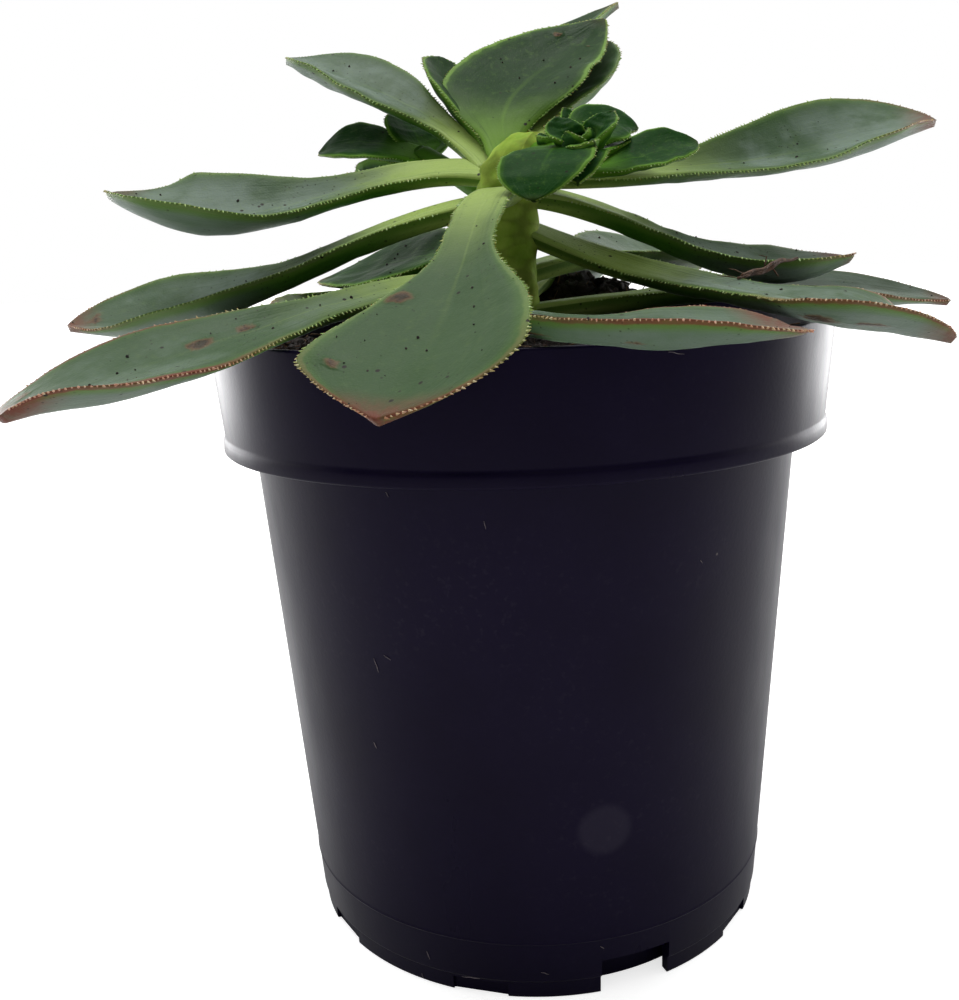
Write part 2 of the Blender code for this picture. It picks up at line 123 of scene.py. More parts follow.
def camera_axes():
    """Right, up and forward of the view."""
    forward = Vector((math.sin(YAW) * math.cos(PITCH), math.cos(YAW) * math.cos(PITCH), -math.sin(PITCH)))
    level = Vector((math.cos(YAW), -math.sin(YAW), 0))
    upright = level.cross(forward)
    right = math.cos(ROLL) * level + math.sin(ROLL) * upright
    return right, right.cross(forward), forward


VIEW_RIGHT, VIEW_UP, VIEW_AHEAD = camera_axes()
lens = bpy.data.cameras.new("camera")
lens.sensor_width = SENSOR_MM
lens.lens = FOCAL_PX / PICTURE_HIGH * SENSOR_MM
lens.clip_start = 0.005
camera = link("camera", lens)
turn = Matrix((VIEW_RIGHT, VIEW_UP, -VIEW_AHEAD)).transposed().to_4x4()
camera.matrix_world = Matrix.Translation(CAMERA_AT) @ turn
bpy.context.scene.camera = camera
print("lens", round(lens.lens, 2), "mm")

# %% [markdown]
# ## Light and floor
# The plant was photographed against white with soft light from above and behind, so faces that look up
# are bright and faces that look at the viewer are much darker. A sky that is bright overhead and dim in
# front does the same, and it also keeps the front of the black pot dark, with pale edges at both sides.
# Rays that come straight from the camera see plain white instead of that sky.

# %% Studio
SKY_TOP, SKY_SIDE, SKY_FRONT = 0.85, 1.2, 0.22
SKY_TURNS, SKY_CLIMBS = (-0.45, 0.40), (0.35, 0.95)
SOFTBOXES = {  # place, what it aims at, width in metres, watts
    "softbox_top": ((-0.08, 0.06, 0.80), (0, 0, 0.10), 0.45, 3.5),
    "softbox_left": ((-0.50, 0.42, 0.10), (0, 0, 0.08), 0.40, 2.2),
    "softbox_right": ((0.50, 0.42, 0.10), (0, 0, 0.08), 0.40, 2.2),
}


def build_sky():
    world = bpy.data.worlds.new("studio")
    bpy.context.scene.world = world
    world.use_nodes = True
    world.node_tree.nodes.clear()
    add = partial(wire, world.node_tree)
    where = add("ShaderNodeTexCoord", "Generated")

    def ramp(axis, span, first, last):
        value = add("ShaderNodeSeparateXYZ", axis, {0: where})
        inputs = {"Value": value, "From Min": span[0], "From Max": span[1], "To Min": first, "To Max": last}
        return add("ShaderNodeMapRange", "Result", inputs, interpolation_type="SMOOTHSTEP")

    front, high = ramp("Y", SKY_TURNS, SKY_FRONT, SKY_SIDE), ramp("Z", SKY_CLIMBS, 0.0, 1.0)
    strength = add("ShaderNodeMix", "Result", {"Factor": high, "A": front, "B": SKY_TOP})
    lit = add("ShaderNodeBackground", 0, {"Color": WHITE, "Strength": strength})
    seen = add("ShaderNodeBackground", 0, {"Color": WHITE})
    ray = add("ShaderNodeLightPath", "Is Camera Ray")
    chosen = add("ShaderNodeMixShader", 0, {"Fac": ray, 1: lit, 2: seen})
    add("ShaderNodeOutputWorld", None, {"Surface": chosen})


build_sky()
for name, (at, aim, size, watts) in SOFTBOXES.items():
    lamp = bpy.data.lights.new(name, "AREA")
    lamp.shape, lamp.size, lamp.energy = "DISK", size, watts
    box = link(name, lamp)
    box.location = at
    box.rotation_euler = (Vector(aim) - Vector(at)).to_track_quat("-Z", "Y").to_euler()
bpy.context.scene.view_settings.view_transform = "Standard"
print("sky and", len(SOFTBOXES), "softboxes")

# %% [markdown]
# ## Helpers for materials
# Colours are easiest to judge as screen values from 0 to 255, but shaders want linear ones, so one
# helper converts. The class gives short names to the nodes that every material here repeats.

# %% Material helpers


def screen(r, g, b):
    """A screen colour as the linear colour that a shader takes."""
    linear = [(c / 255 / 12.92) if c <= 10 else ((c / 255 + 0.055) / 1.055) ** 2.4 for c in (r, g, b)]
    return (*linear, 1.0)


class Wiring:
    """A material's node tree, with short calls for the nodes that recur."""

    def __init__(self, name):
        self.material = bpy.data.materials.new(name)
        self.material.use_nodes = True
        self.tree = self.material.node_tree
        self.place = self.node("TexCoord", "Object")

    def node(self, kind, output, inputs=None, **settings):
        return wire(self.tree, "ShaderNode" + kind, output, inputs, **settings)

    def maths(self, operation, a, b=0.0):
        return self.node("Math", 0, {0: a, 1: b}, operation=operation)

    def times(self, a, b):
        return self.maths("MULTIPLY", a, b)

    def ramp(self, value, low, high, first=0.0, last=1.0):
        inputs = {"Value": value, "From Min": low, "From Max": high, "To Min": first, "To Max": last}
        return self.node("MapRange", "Result", inputs, interpolation_type="SMOOTHSTEP")

    def coats(self, colour, *coats):
        """Colours laid one over another, each by its own amount. A tuple is a screen colour."""
        for amount, coat in coats:
            a, b = (screen(*c) if isinstance(c, tuple) else c for c in (colour, coat))
            colour = self.node("Mix", "Result", {"Factor": amount, "A": a, "B": b}, data_type="RGBA")
        return colour

    def noise(self, scale, detail=3.0, rough=0.55, at=None):
        inputs = {"Scale": scale, "Detail": detail, "Roughness": rough, "Vector": at or self.place}
        return self.node("TexNoise", "Fac", inputs)

    def cells(self, scale, at=None):
        return self.node("TexVoronoi", "Distance", {"Scale": scale, "Vector": at or self.place})

    def stretched(self, x, y, z):
        """The object's own coordinates scaled unevenly, for grain that runs one way."""
        return self.node("Mapping", "Vector", {"Vector": self.place, "Scale": (x, y, z)})

    def leaf_grain(self, along, across):
        """Coordinates that follow the blade, so that noise on them runs as streaks from stalk to tip."""
        blade = self.node("CombineXYZ", "Vector", {"X": self.times(across, 7.0), "Y": self.times(along, 2.2)})
        inputs = {0: self.place, 1: (12.0, 12.0, 12.0), 2: blade}
        return self.node("VectorMath", "Vector", inputs, operation="MULTIPLY_ADD")

    def spot(self, name, inner, outer, most):
        """A soft round spot about a point, which is set later on the node of this name."""
        far = self.node("VectorMath", "Value", {0: self.place}, operation="DISTANCE", name=name)
        return self.ramp(far, inner, outer, most, 0.0)

    def bump(self, height, distance, strength=1.0, under=None):
        inputs = {"Strength": strength, "Distance": distance, "Height": height, "Normal": under}
        return self.node("Bump", "Normal", inputs)

    def shade(self, inputs):
        """Feeds the shader and returns the finished material."""
        feed(self.tree, self.tree.nodes["Principled BSDF"], inputs)
        return self.material


print("material helpers ready")

# %% [markdown]
# ## The leaf's finish
# An aeonium leaf is waxy: a grey bloom lies over fresh green, thinner near the stalk, which is pale
# and yellowish. The underside is a cleaner green. Old leaves redden along the margin and at the tip,
# and carry corky scars and specks of soil. The mesh knows where each point lies (along the leaf,
# across it, above or below), so the colours follow the blade whichever way it bends.

# %% The leaf's material
NOTE_NAMES = ("along", "across", "below", "redness", "scar", "wax")
GRIT, FINE_GRIT, CORK = (30, 24, 18), (34, 32, 22), ((112, 78, 54), (50, 38, 28))


def leaf_material(name, fade, gloss, sheen, stalk, blade, bloom, pale, belly, lime, edge, red):
    w = Wiring(name)
    along, across, below, redness, scar, wax = (
        w.node("Attribute", "Fac", attribute_name=label) for label in NOTE_NAMES
    )
    off = w.maths("ABSOLUTE", across)
    cloud, fine = w.noise(75.0, 4.0, 0.6), w.noise(520.0, 3.0, 0.6)
    grain = w.noise(1.0, 4.0, 0.6, at=w.leaf_grain(along, across))
    faded, unrest = w.ramp(along, *fade), w.maths("SUBTRACT", fine, 0.5)
    # The bloom and its pale frost scale with the leaf's wax, which is partly painted light and shade: paler
    # leaves in shade, darker leaves that face away from the light.
    waxy = w.times(w.ramp(cloud, 0.40, 0.62, 0.25, 1.0), faded)
    frost = w.times(w.times(waxy, wax), w.ramp(off, 0.95, 0.55))
    # Painted light, partly: the lime band along the margin is partly the margin's own paler green and partly
    # light shining through the thin margin, painted in. It is much stronger on the underside.
    glow = w.times(w.ramp(off, 0.80, 0.96), w.ramp(along, 0.25, 0.50))
    above = w.coats(
        stalk,
        (faded, blade),
        (w.times(waxy, w.ramp(wax, -1.0, 1.0)), bloom),
        (w.times(frost, 0.75), pale),
        (w.ramp(grain, 0.50, 0.78, 0.0, 0.45), blade),
        (w.ramp(fine, 0.52, 0.80, 0.0, 0.22), edge),
        (w.times(w.ramp(off, 0.0, 0.07, 0.25, 0.0), w.ramp(along, 0.2, 0.9, 1.0, 0.0)), stalk),
        (w.times(glow, 0.30), lime),
    )
    # The underside's pale coat towards the tip is partly real bloom and partly painted light: it stands for
    # the light that the pale floor bounces up under the leaves.
    bloom_and_bounce_light = w.times(w.ramp(cloud, 0.30, 0.60, 0.55, 1.0), w.ramp(along, 0.48, 0.78))
    underside = w.coats(
        stalk,
        (w.ramp(along, 0.10, 0.35), belly),
        (bloom_and_bounce_light, bloom),
        (w.times(bloom_and_bounce_light, w.ramp(wax, 0.0, 1.0, 0.25, 0.85)), pale),
        # Painted light, partly: the underside's lime margin stands for light shining through the thin margin.
        (w.ramp(off, 0.74, 0.96, 0.0, 0.9), lime),
    )
    ragged = w.maths("ADD", off, w.times(unrest, 0.07))
    band = w.times(w.ramp(ragged, 0.92, 0.97), w.ramp(along, 0.20, 0.45))
    blush = w.times(w.ramp(along, 0.925, 1.0), redness)
    frayed = w.maths("ADD", scar, w.times(unrest, 1.1))
    speck = w.times(w.ramp(w.cells(420.0), 0.10, 0.17, 1.0, 0.0), w.ramp(w.noise(150.0, 2.0), 0.54, 0.60))
    grit = w.times(w.ramp(w.cells(950.0), 0.12, 0.18, 0.7, 0.0), w.ramp(w.noise(70.0, 2.0), 0.46, 0.60))
    colour = w.coats(
        above,
        (w.ramp(below, 0.45, 0.75), underside),
        (w.times(band, w.ramp(cloud, 0.25, 0.6, 0.55, 0.95)), w.coats(edge, (redness, red))),
        (w.times(blush, w.ramp(fine, 0.3, 0.6, 0.6, 1.0)), red),
        (w.ramp(frayed, 0.30, 0.85, 0.0, 0.92), w.coats(CORK[0], (w.ramp(frayed, 0.45, 1.05), CORK[1]))),
        (speck, GRIT),
        (grit, FINE_GRIT),
        (w.ramp(w.cells(1500.0), 0.14, 0.24, 0.13, 0.0), edge),
    )
    swell = w.bump(w.noise(230.0, 3.0, 0.5), 0.0004, 0.5)
    ridged = w.bump(grain, 0.0003, 0.4, swell)
    pitted = w.bump(w.times(scar, fine), 0.0006, 0.9, ridged)
    return w.shade({
        "Base Color": colour,
        "Roughness": w.ramp(cloud, 0.3, 0.7, 0.44, 0.58),
        "Specular IOR Level": gloss,
        "Sheen Weight": sheen,
        "Sheen Roughness": 0.12,
        "Sheen Tint": (0.82, 0.94, 0.92, 1),
        "Subsurface Weight": 0.08,
        "Subsurface Radius": (0.9, 1.0, 0.3),
        "Subsurface Scale": 0.0018,
        "Normal": w.bump(w.cells(2600.0), 0.00005, 0.5, pitted),
    })


print("the leaf's material reads", *NOTE_NAMES)

# %% Three leaf finishes and the fringe's
# Each row: where the stalk's colour fades out, gloss and sheen. Then stalk, blade, bloom, pale bloom,
# underside (set lighter, partly as painted bounce light from the floor), bright margin band (partly
# painted light through the thin margin), margin, and red margin
FINISHES = {
    "old_leaf": (
        (0.16, 0.62), 0.12, 0.40, (144, 166, 86), (46, 74, 34), (70, 90, 64), (112, 128, 116),
        (52, 96, 22), (84, 118, 42), (94, 116, 62), (108, 58, 44)),
    "young_leaf": (
        (0.06, 0.44), 0.08, 0.22, (102, 138, 46), (20, 50, 12), (36, 64, 28), (84, 108, 86),
        (44, 80, 18), (84, 124, 34), (104, 138, 56), (104, 66, 44)),
    "crown_leaf": (
        (0.05, 0.50), 0.04, 0.08, (88, 136, 34), (18, 56, 12), (26, 62, 20), (44, 74, 40),
        (40, 80, 16), (80, 124, 30), (96, 134, 50), (104, 66, 44)),
}


def fringe_material():
    """The margin's hairs: pale and clear on young leaves, pink-brown on old ones."""
    w = Wiring("fringe")
    redness = w.node("Attribute", "Fac", attribute_name="redness")
    pale = w.times(w.ramp(w.noise(900.0), 0.42, 0.66, 0.0, 0.65), w.ramp(redness, 0.0, 0.4, 0.3, 1.0))
    return w.shade({
        "Base Color": w.coats((132, 164, 78), (redness, (168, 116, 88)), (pale, (184, 176, 134))),
        "Roughness": 0.45,
        "Subsurface Weight": 0.15,
        "Subsurface Scale": 0.0004,
    })


OLD_LEAF, YOUNG_LEAF, CROWN_LEAF = (leaf_material(name, *row) for name, row in FINISHES.items())
FRINGE = fringe_material()
OTHER_LEAVES = {name: YOUNG_LEAF for name in ("leaf_top_broad", "leaf_top_left", "leaf_top_back")}
# Painted shade: the back-left leaf lies in shade, so it takes the crown's darker, duller finish.
OTHER_LEAVES["leaf_back_left"] = CROWN_LEAF
print("leaf finishes:", *FINISHES)

# %% [markdown]
# ## The leaf's form
# Every leaf follows one rule: a keel, which is a smooth curve through four points, carries a thick
# cross-section that is a narrow stalk at the stem, a broad folded blade further out, and a short
# pointed tip. The rule is the one the solids follow, with many more rings and a rounded margin, and
# with the slight swelling and waviness that living leaves have.

# %% The leaves' measures in millimetres and degrees
NECK_SPAN, NECK_LEAST = 0.48, 0.12
LEAST_HALF, ROUND_OUT = 0.25, 0.14  # the narrowest half width, and how far a margin bulges
Leaf = namedtuple("Leaf", "name red wax keel width roll fold broad end flare", defaults=[NECK_SPAN])
# The third column, wax, is how much grey bloom lies on each leaf. It is partly real bloom and partly painted
# light and shade: raised on leaves in a neighbour's shade and on leaves seen at a slant, so they read paler,
# and lowered, below zero on some, on leaves that face away from the light, so they read darker.
LEAVES = [
    Leaf("leaf_left_low", (1.0, 0.5), 0.5,
         ((-1, 0, 117), (-24, -29, 115.2), (-46, -48.8, 109.3), (-65, -67.4, 104.2)),
         24.4, (10, -25, 17), 10, 0.9, 3.6, 0.46),
    Leaf("leaf_left_mid", (0.9, 0.8), 1.0,
         ((-1, 0, 130.2), (-30, -4.5, 123.2), (-55, -3, 113.9), (-80, -7, 111.7)),
         24.7, (-11, -15, -12), 26, 0.79, 3.4, 0.36),
    Leaf("leaf_left_high", (0.5, 0.93), 1.0,
         ((-1, -1, 134.3), (-27, 2.5, 133.8), (-43, -4.5, 129.6), (-68.4, -10.5, 133.8)),
         29, (-22, -28, -1), 25, 0.84, 3.4, 0.48),
    Leaf("leaf_left_back", (0.1, 0.9), 1.0,
         ((-4, 1.5, 135.5), (-12, 12.6, 143.8), (-26.2, 20.9, 152.2), (-43.2, 24.3, 159.4)),
         19.3, (-10, -24, -8), 21, 0.75, 4),
    Leaf("leaf_front", (0.95, 0.8), -0.1,
         ((-1, 0, 131.2), (-5.3, -25.7, 127.2), (-9.3, -52.2, 114.3), (-17.2, -74.1, 102.9)),
         33.2, (-2, 12, -1), 17, 0.87, 1.3, 0.4),
    Leaf("leaf_front_right", (1.0, 0.5), 0.6,
         ((0, 0, 110.8), (-7, -33.5, 113.4), (9.1, -57.8, 111.7), (35.8, -54.8, 110.1)),
         14.6, (21, 1, 12), 23, 0.9, 5.5, 0.28),
    Leaf("leaf_right_mid", (0.9, 0.82), 0.8,
         ((-1, 0, 131.4), (22.6, 5, 124.8), (38.6, 6.2, 117.7), (61.2, 7.6, 117.4)),
         21.7, (20, 16, -1), 22, 0.89, 5.5, 0.46),
    Leaf("leaf_right_low", (0.9, 0.6), 0.9,
         ((-1, 0, 126.5), (27, -9.7, 115.6), (40, -28.2, 112.6), (62.1, -42, 106.7)),
         27.8, (22, 13, -13), 11, 0.88, 1.2, 0.28),
    Leaf("leaf_right_soil", (0.9, 0.6), 0.9,
         ((0, 0, 110.6), (23, 5, 112.4), (54, 12.5, 111.9), (81.5, 11, 108.5)),
         21, (0, 6, 12), 12, 0.7, 2),
    Leaf("leaf_right_high", (0.8, 0.8), 1.0,
         ((0, 0, 134.5), (27.8, 6.4, 134.4), (48.2, 16.6, 135.9), (79.5, 17.4, 141.5)),
         26, (20, 39, 10), 28, 0.89, 2.4, 0.58),
    Leaf("leaf_back_right", (0.4, 0.7), 0.8,
         ((-1, 1, 117), (14, 15, 120), (24, 33, 119), (40, 52, 117)),
         25, (0, 12, 24), 14, 0.68, 2),
    Leaf("leaf_back_left", (0.4, 0.7), -0.6,
         ((-1, 0, 124), (-15, 12, 121.1), (-26, 22, 119.2), (-41.3, 32, 116.6)),
         23.3, (-18, -26, -12), 9, 0.6, 2.2),
    Leaf("leaf_back_rim", (0.7, 0.7), 0.8,
         ((0, 0, 111.8), (-22, 14, 113.6), (-36, 28, 112.7), (-54, 42, 111.5)),
         23, (0, 0, 0), 12, 0.68, 2),
    Leaf("leaf_back_low", (0.8, 0.7), 0.8,
         ((0, 0, 113.1), (5, 20, 116), (9, 42, 115.5), (14, 70, 112)),
         22, (0, 0, 0), 14, 0.68, 2),
    Leaf("leaf_back_mid", (0.6, 0.7), 0.8,
         ((-1, 0, 117.8), (-10, 22, 119.3), (-16, 44, 117.5), (-22, 75, 112)),
         22, (0, 0, 0), 14, 0.68, 2),
    Leaf("leaf_top_broad", (0.15, 0.8), -0.4,
         ((0.5, 0.8, 134.5), (-1.2, 9.6, 145.3), (4.6, 21.2, 153.1), (19.2, 32, 165)),
         29.6, (-7, 9, 32), 18, 0.45, 2),
    Leaf("leaf_top_left", (0, 0.8), -0.3,
         ((-2.2, 2, 135), (-6.5, 12, 144.5), (-11, 21, 151.5), (-13.5, 29, 159)),
         13, (0, 10, 20), 20, 0.68, 3),
    Leaf("leaf_top_back", (0.5, 0.8), 0.0,
         ((1, 3, 134), (3, 22, 148), (11, 40, 161.4), (23.6, 51, 171.6)),
         15, (0, 0, 0), 20, 0.66, 2),
    Leaf("leaf_top_right", (0.1, 0.8), 0.0,
         ((2.2, 1.4, 135.4), (6, 10, 143.6), (14, 24, 151.6), (20, 33, 161)),
         13, (0, 0, 0), 14, 0.68, 2.6),
]
# Share of the width at the root, thickness of the stalk, of the blade and of its margin
BIG_KIND = (0.25, 3.6, 3.0, 0.8)
SMALL_KIND = (0.5, 2.2, 1.9, 0.9)
print(len(LEAVES), "large leaves")

# %% Corky scars: share along the leaf, place across it, half length and half width as shares
SCARS = {
    "leaf_left_low": [(0.69, -0.10, 0.030, 0.20), (0.61, -0.20, 0.022, 0.16), (0.93, -0.75, 0.02, 0.08),
                      (0.97, 0.10, 0.03, 0.25)],
    "leaf_left_mid": [(0.95, -0.27, 0.015, 0.30)],
    "leaf_front": [(0.87, -0.70, 0.012, 0.11), (0.66, -0.74, 0.022, 0.22)],
    "leaf_front_right": [(0.60, -0.88, 0.10, 0.14), (0.74, -0.90, 0.08, 0.14)],
    "leaf_top_broad": [(0.84, 0.62, 0.02, 0.10), (0.83, -0.50, 0.01, 0.08)],
    "leaf_left_high": [(0.97, 0.20, 0.025, 0.25)],
    "leaf_right_low": [(0.87, -0.55, 0.05, 0.10)],
}
UNDER_SCARS = {
    "leaf_front_right": [(0.45, -0.50, 0.030, 0.10), (0.60, -0.50, 0.050, 0.10), (0.78, -0.50, 0.020, 0.10)],
    "leaf_right_low": [(0.80, -0.50, 0.045, 0.18), (0.88, -0.45, 0.030, 0.12)],
}
print(sum(map(len, SCARS.values())), "scars")

# %% The rule for a leaf's section


def smoothstep(low, high, x):
    t = min(1.0, max(0.0, (x - low) / (high - low)))
    return t * t * (3 - 2 * t)


def along_keel(points, t):
    """The smooth curve through the keel's points, spaced by the distances between them."""
    knots = [0.0]
    for p, q in zip(points, points[1:]):
        knots.append(knots[-1] + (q - p).length)
    t *= knots[-1]
    found = Vector()
    for i, point in enumerate(points):
        weight = 1.0
        for j, knot in enumerate(knots):
            if j != i:
                weight *= (t - knot) / (knots[i] - knot)
        found += point * weight
    return found


def leaf_half_width(leaf, v, neck):
    """Half the blade's width along it: a narrow stalk, a broad shoulder and a short point."""
    share = neck + (1 - neck) * smoothstep(max(NECK_LEAST, leaf.broad - leaf.flare), leaf.broad, v)
    if v > leaf.broad:
        q = (v - leaf.broad) / (1 - leaf.broad)
        share *= max(0.0, 1 - q**leaf.end) ** 0.8
    return max(LEAST_HALF, share * leaf.width / 2)


def leaf_frame(leaf, points, v):
    """The keel's point, and the blade's side and up directions, twisted by its roll."""
    here = along_keel(points, v)
    along = (along_keel(points, min(v + 0.01, 1.02)) - along_keel(points, v - 0.01)).normalized()
    side = Vector((-along.y, along.x, 0)).normalized()
    root, middle, tip = leaf.roll
    twist = root * (1 - v) * (1 - 2 * v) + 4 * middle * v * (1 - v) + tip * v * (2 * v - 1)
    side = Matrix.Rotation(math.radians(twist), 3, along) @ side
    return here, side, along.cross(side)


def leaf_section(leaf, v, side, up, kind, spread):
    """Offsets round the leaf with how far across and how far below each lies."""
    neck, stalk, blade, edge = kind
    half = leaf_half_width(leaf, v, neck)
    near_tip = smoothstep(0.8, 1.0, v)
    fold = math.radians(leaf.fold) * smoothstep(0.05, 0.55, v) * (1 - 0.5 * near_tip)
    middle = (stalk + (blade - stalk) * smoothstep(0.1, 0.5, v)) * (1 - 0.55 * near_tip)
    margin = min(edge + (stalk * 0.45 - edge) * (1 - smoothstep(0.0, 0.3, v)), middle)
    margin *= 1 - 0.4 * near_tip
    out = {s: half * s * math.cos(fold) for s in spread}
    rise = {s: half * (math.sqrt(s * s + 0.04) - 0.2) * math.sin(fold) for s in spread}
    top, under = [], []
    for s in spread:
        thick = margin + (middle - margin) * (1 - abs(s) ** 2.2)
        soft = 0.32 * margin * abs(s) ** 10
        top.append((side * out[s] + up * (rise[s] + margin * 0.5 - soft), s, 0.0))
        under.append((side * out[s] + up * (rise[s] + margin * 0.5 - thick + soft), s, 1.0))
    tips = [(side * (out[s] + ROUND_OUT * s) + up * rise[s], s, 0.4) for s in (spread[-1], spread[0])]
    return top + tips[:1] + under[::-1] + tips[1:]


print("leaf rule ready")

# %% [markdown]
# ## From rings to a closed skin
# Rings of points become one closed mesh: quads between the rings, a flat cap inside the stem and a
# single point at the tip. Two slow waves of noise, one along the blade and one over its surface, keep
# the leaves from looking machined. What the material needs is stored on the points.

# %% Skins and pieces


def quads_between(count, rows):
    """Faces between neighbouring rows of points, where each row goes once round."""
    return [
        (r * count + i, r * count + (i + 1) % count, (r + 1) * count + (i + 1) % count, (r + 1) * count + i)
        for r in range(rows) for i in range(count)
    ]


def fan(first, count, tip):
    """Faces that close a row of points on one point."""
    return [(first + i, first + (i + 1) % count, tip) for i in range(count)]


def mesh_piece(name, skins, finish, noted=True):
    """One object from several closed skins in millimetres, with their notes as point attributes."""
    points, faces, notes = [], [], []
    for skin_points, skin_faces, skin_notes in skins:
        base = len(points)
        points += [tuple(p * MM) for p in skin_points]
        faces += [tuple(base + i for i in face) for face in skin_faces]
        notes += skin_notes
    mesh = bpy.data.meshes.new(name)
    mesh.from_pydata(points, [], faces)
    for k, label in enumerate(NOTE_NAMES if noted else ()):
        mesh.attributes.new(label, "FLOAT", "POINT").data.foreach_set("value", [note[k] for note in notes])
    bm = bmesh.new()
    bm.from_mesh(mesh)
    bmesh.ops.recalc_face_normals(bm, faces=bm.faces)
    bm.to_mesh(mesh)
    bm.free()
    mesh.shade_smooth()
    mesh.materials.append(finish)
    return link(name, mesh)


def finish_piece(obj, slot, *nodes):
    """The piece belongs to the plant's one body and stands for its solids. Its slot is not used."""
    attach(obj, "root")
    if nodes:
        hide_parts(*nodes)
    return obj


print("skin helpers ready")

# %% Leaf meshes
BIG_RINGS, BIG_SPREAD = 76, 20
SMALL_RINGS, SMALL_SPREAD = 40, 12
SWELL_MM, FRINGE_FROM = 0.28, 0.16


def scar_depth(leaf, v, s, below):
    depth = 0.0
    for at, across, long, wide in (SCARS if below < 0.5 else UNDER_SCARS).get(leaf.name, ()):
        far = math.hypot((v - at) / long, (s - across) / wide)
        depth = max(depth, 1 - smoothstep(0.3, 1.35, far))
    return depth


def red_at(leaf, v):
    """How red the margin is: old leaves redden from a certain share of their length outwards."""
    amount, start = leaf.red
    return amount * smoothstep(start, min(1.0, start + 0.25), v)


def leaf_skin(leaf, kind, rings, spread, seed):
    """Points, faces, per-point notes and the two margin lines of one leaf, in millimetres."""
    keel = [Vector(p) for p in leaf.keel]
    places = [math.sin(math.pi / 2 * (2 * i / spread - 1)) for i in range(spread + 1)]
    points, notes, margins = [], [], ([], [])
    for v in ((i / rings) ** 0.9 * 0.996 for i in range(rings + 1)):
        here, side, up = leaf_frame(leaf, keel, v)
        red = red_at(leaf, v)
        wave = 1 + 0.025 * noise.noise(Vector((v * 9, seed, 0.5))) * smoothstep(0.3, 0.6, v)
        first = len(points)
        for offset, s, below in leaf_section(leaf, v, side * wave, up, kind, places):
            point = here + offset
            lift = noise.noise(Vector((v * 11, s * 1.6 + seed * 3, 4.2))) * SWELL_MM
            lift += noise.noise(point * 0.33 + Vector((seed, 0, 0))) * SWELL_MM * 0.4
            points.append(point + up * lift * smoothstep(0.12, 0.4, v) * (1 - smoothstep(0.93, 1, v)))
            notes.append((v, s, below, red, scar_depth(leaf, v, s, below), leaf.wax))
        if v > FRINGE_FROM:
            margins[0].append((points[first + spread + 1].copy(), side.copy(), red))
            margins[1].append((points[-1].copy(), -side, red))
    count, tip = len(points) - first, len(points)
    points.append(along_keel(keel, 1.002))
    notes.append((1.0, 0.0, 0.3, red_at(leaf, 1.0), 0.0, leaf.wax))
    faces = [tuple(range(count))] + quads_between(count, rings) + fan(rings * count, count, tip)
    return points, faces, notes, margins


all_margins = []
for seed, leaf in enumerate(LEAVES):
    *skin, margins = leaf_skin(leaf, BIG_KIND, BIG_RINGS, BIG_SPREAD, seed + 1)
    blade = mesh_piece(leaf.name + "_skin", [skin], OTHER_LEAVES.get(leaf.name, OLD_LEAF))
    finish_piece(blade, "leaf_blade", leaf.name)
    all_margins += margins
print(len(LEAVES), "leaves,", len(all_margins), "margins,", len(blade.data.polygons), "faces on the last")

# %% [markdown]
# ## The two rosettes
# At the growing tip the stem bends over and ends in a tight rosette of small leaves, with the newest
# ones as pale points in its middle. A side shoot behind the left leaves carries a second, smaller one.
# They use the same rule with thicker, shorter proportions.

# %% Rosette measures
Small = namedtuple("Small", "keel width roll fold broad end")
CROWN_NECK = [
    (3.0, -3.6, 136.0, 3.2), (7.0, -8.0, 135.8, 3.3), (10.0, -11.6, 136.0, 3.0),
    (11.0, -13.6, 137.2, 1.4),
]
CROWN_LEAVES = [
    Small(((9, -10, 137), (7.2, -16, 137), (4.8, -22, 133.8), (3, -26, 128.6)),
          15.5, (0, 0, 0), 4, 0.55, 2.8),
    Small(((11, -11, 134.6), (18.6, -11, 134.6), (25, -10, 136.2), (31, -8, 137.6)),
          12, (20, 28, 36), 16, 0.55, 2.6),
    Small(((11, -9, 137.4), (14.6, -5, 140.6), (18, -3, 141.6), (21.8, -2, 140.6)),
          12.5, (20, 30, 40), 10, 0.5, 1.9),
    Small(((11.6, -14, 135.6), (13.8, -15, 138.2), (15.3, -14, 140.6), (16.6, -13, 142.6)),
          7.5, (0, 10, 20), 26, 0.5, 1.7),
    Small(((10, -13, 135.6), (8.8, -15, 137.9), (8, -14, 140), (7.2, -13, 142.2)),
          7.5, (0, -10, -20), 22, 0.5, 1.8),
    Small(((10.2, -12, 136.6), (9.8, -17, 135.8), (9.9, -21, 133.6), (10, -24.5, 131)),
          11.2, (0, 0, 0), 10, 0.4, 1.5),
    Small(((10.4, -8, 137.4), (10.3, -2, 140.6), (9.9, -1, 142.9), (9.3, 0, 145)),
          6, (0, 0, 0), 20, 0.5, 1.8),
    Small(((9, -9, 136.6), (7, -8, 138), (5.8, -8, 138.8), (4.9, -7, 140.2)), 5, (0, 0, 0), 20, 0.5, 1.8),
    Small(((10.7, -13, 136), (11.5, -15, 137.6), (12.2, -15, 138.8), (12.6, -15, 140)),
          5, (0, 0, 0), 22, 0.5, 1.8),
    Small(((10.6, -13.6, 136), (9.6, -16.4, 137), (9.1, -17.6, 138.2), (8.8, -18, 139.4)),
          5, (0, 0, 0), 22, 0.5, 1.8),
    Small(((10.8, -13.6, 136), (11.4, -18, 136.4), (12, -20.4, 136.8), (12.8, -21.6, 137.4)),
          6, (0, 10, 20), 22, 0.5, 1.8),
    Small(((12, -10, 136), (16.5, -6, 137.2), (21, -1.5, 138), (25, 3, 138.2)), 9, (0, 0, 0), 16, 0.6, 2.2),
]
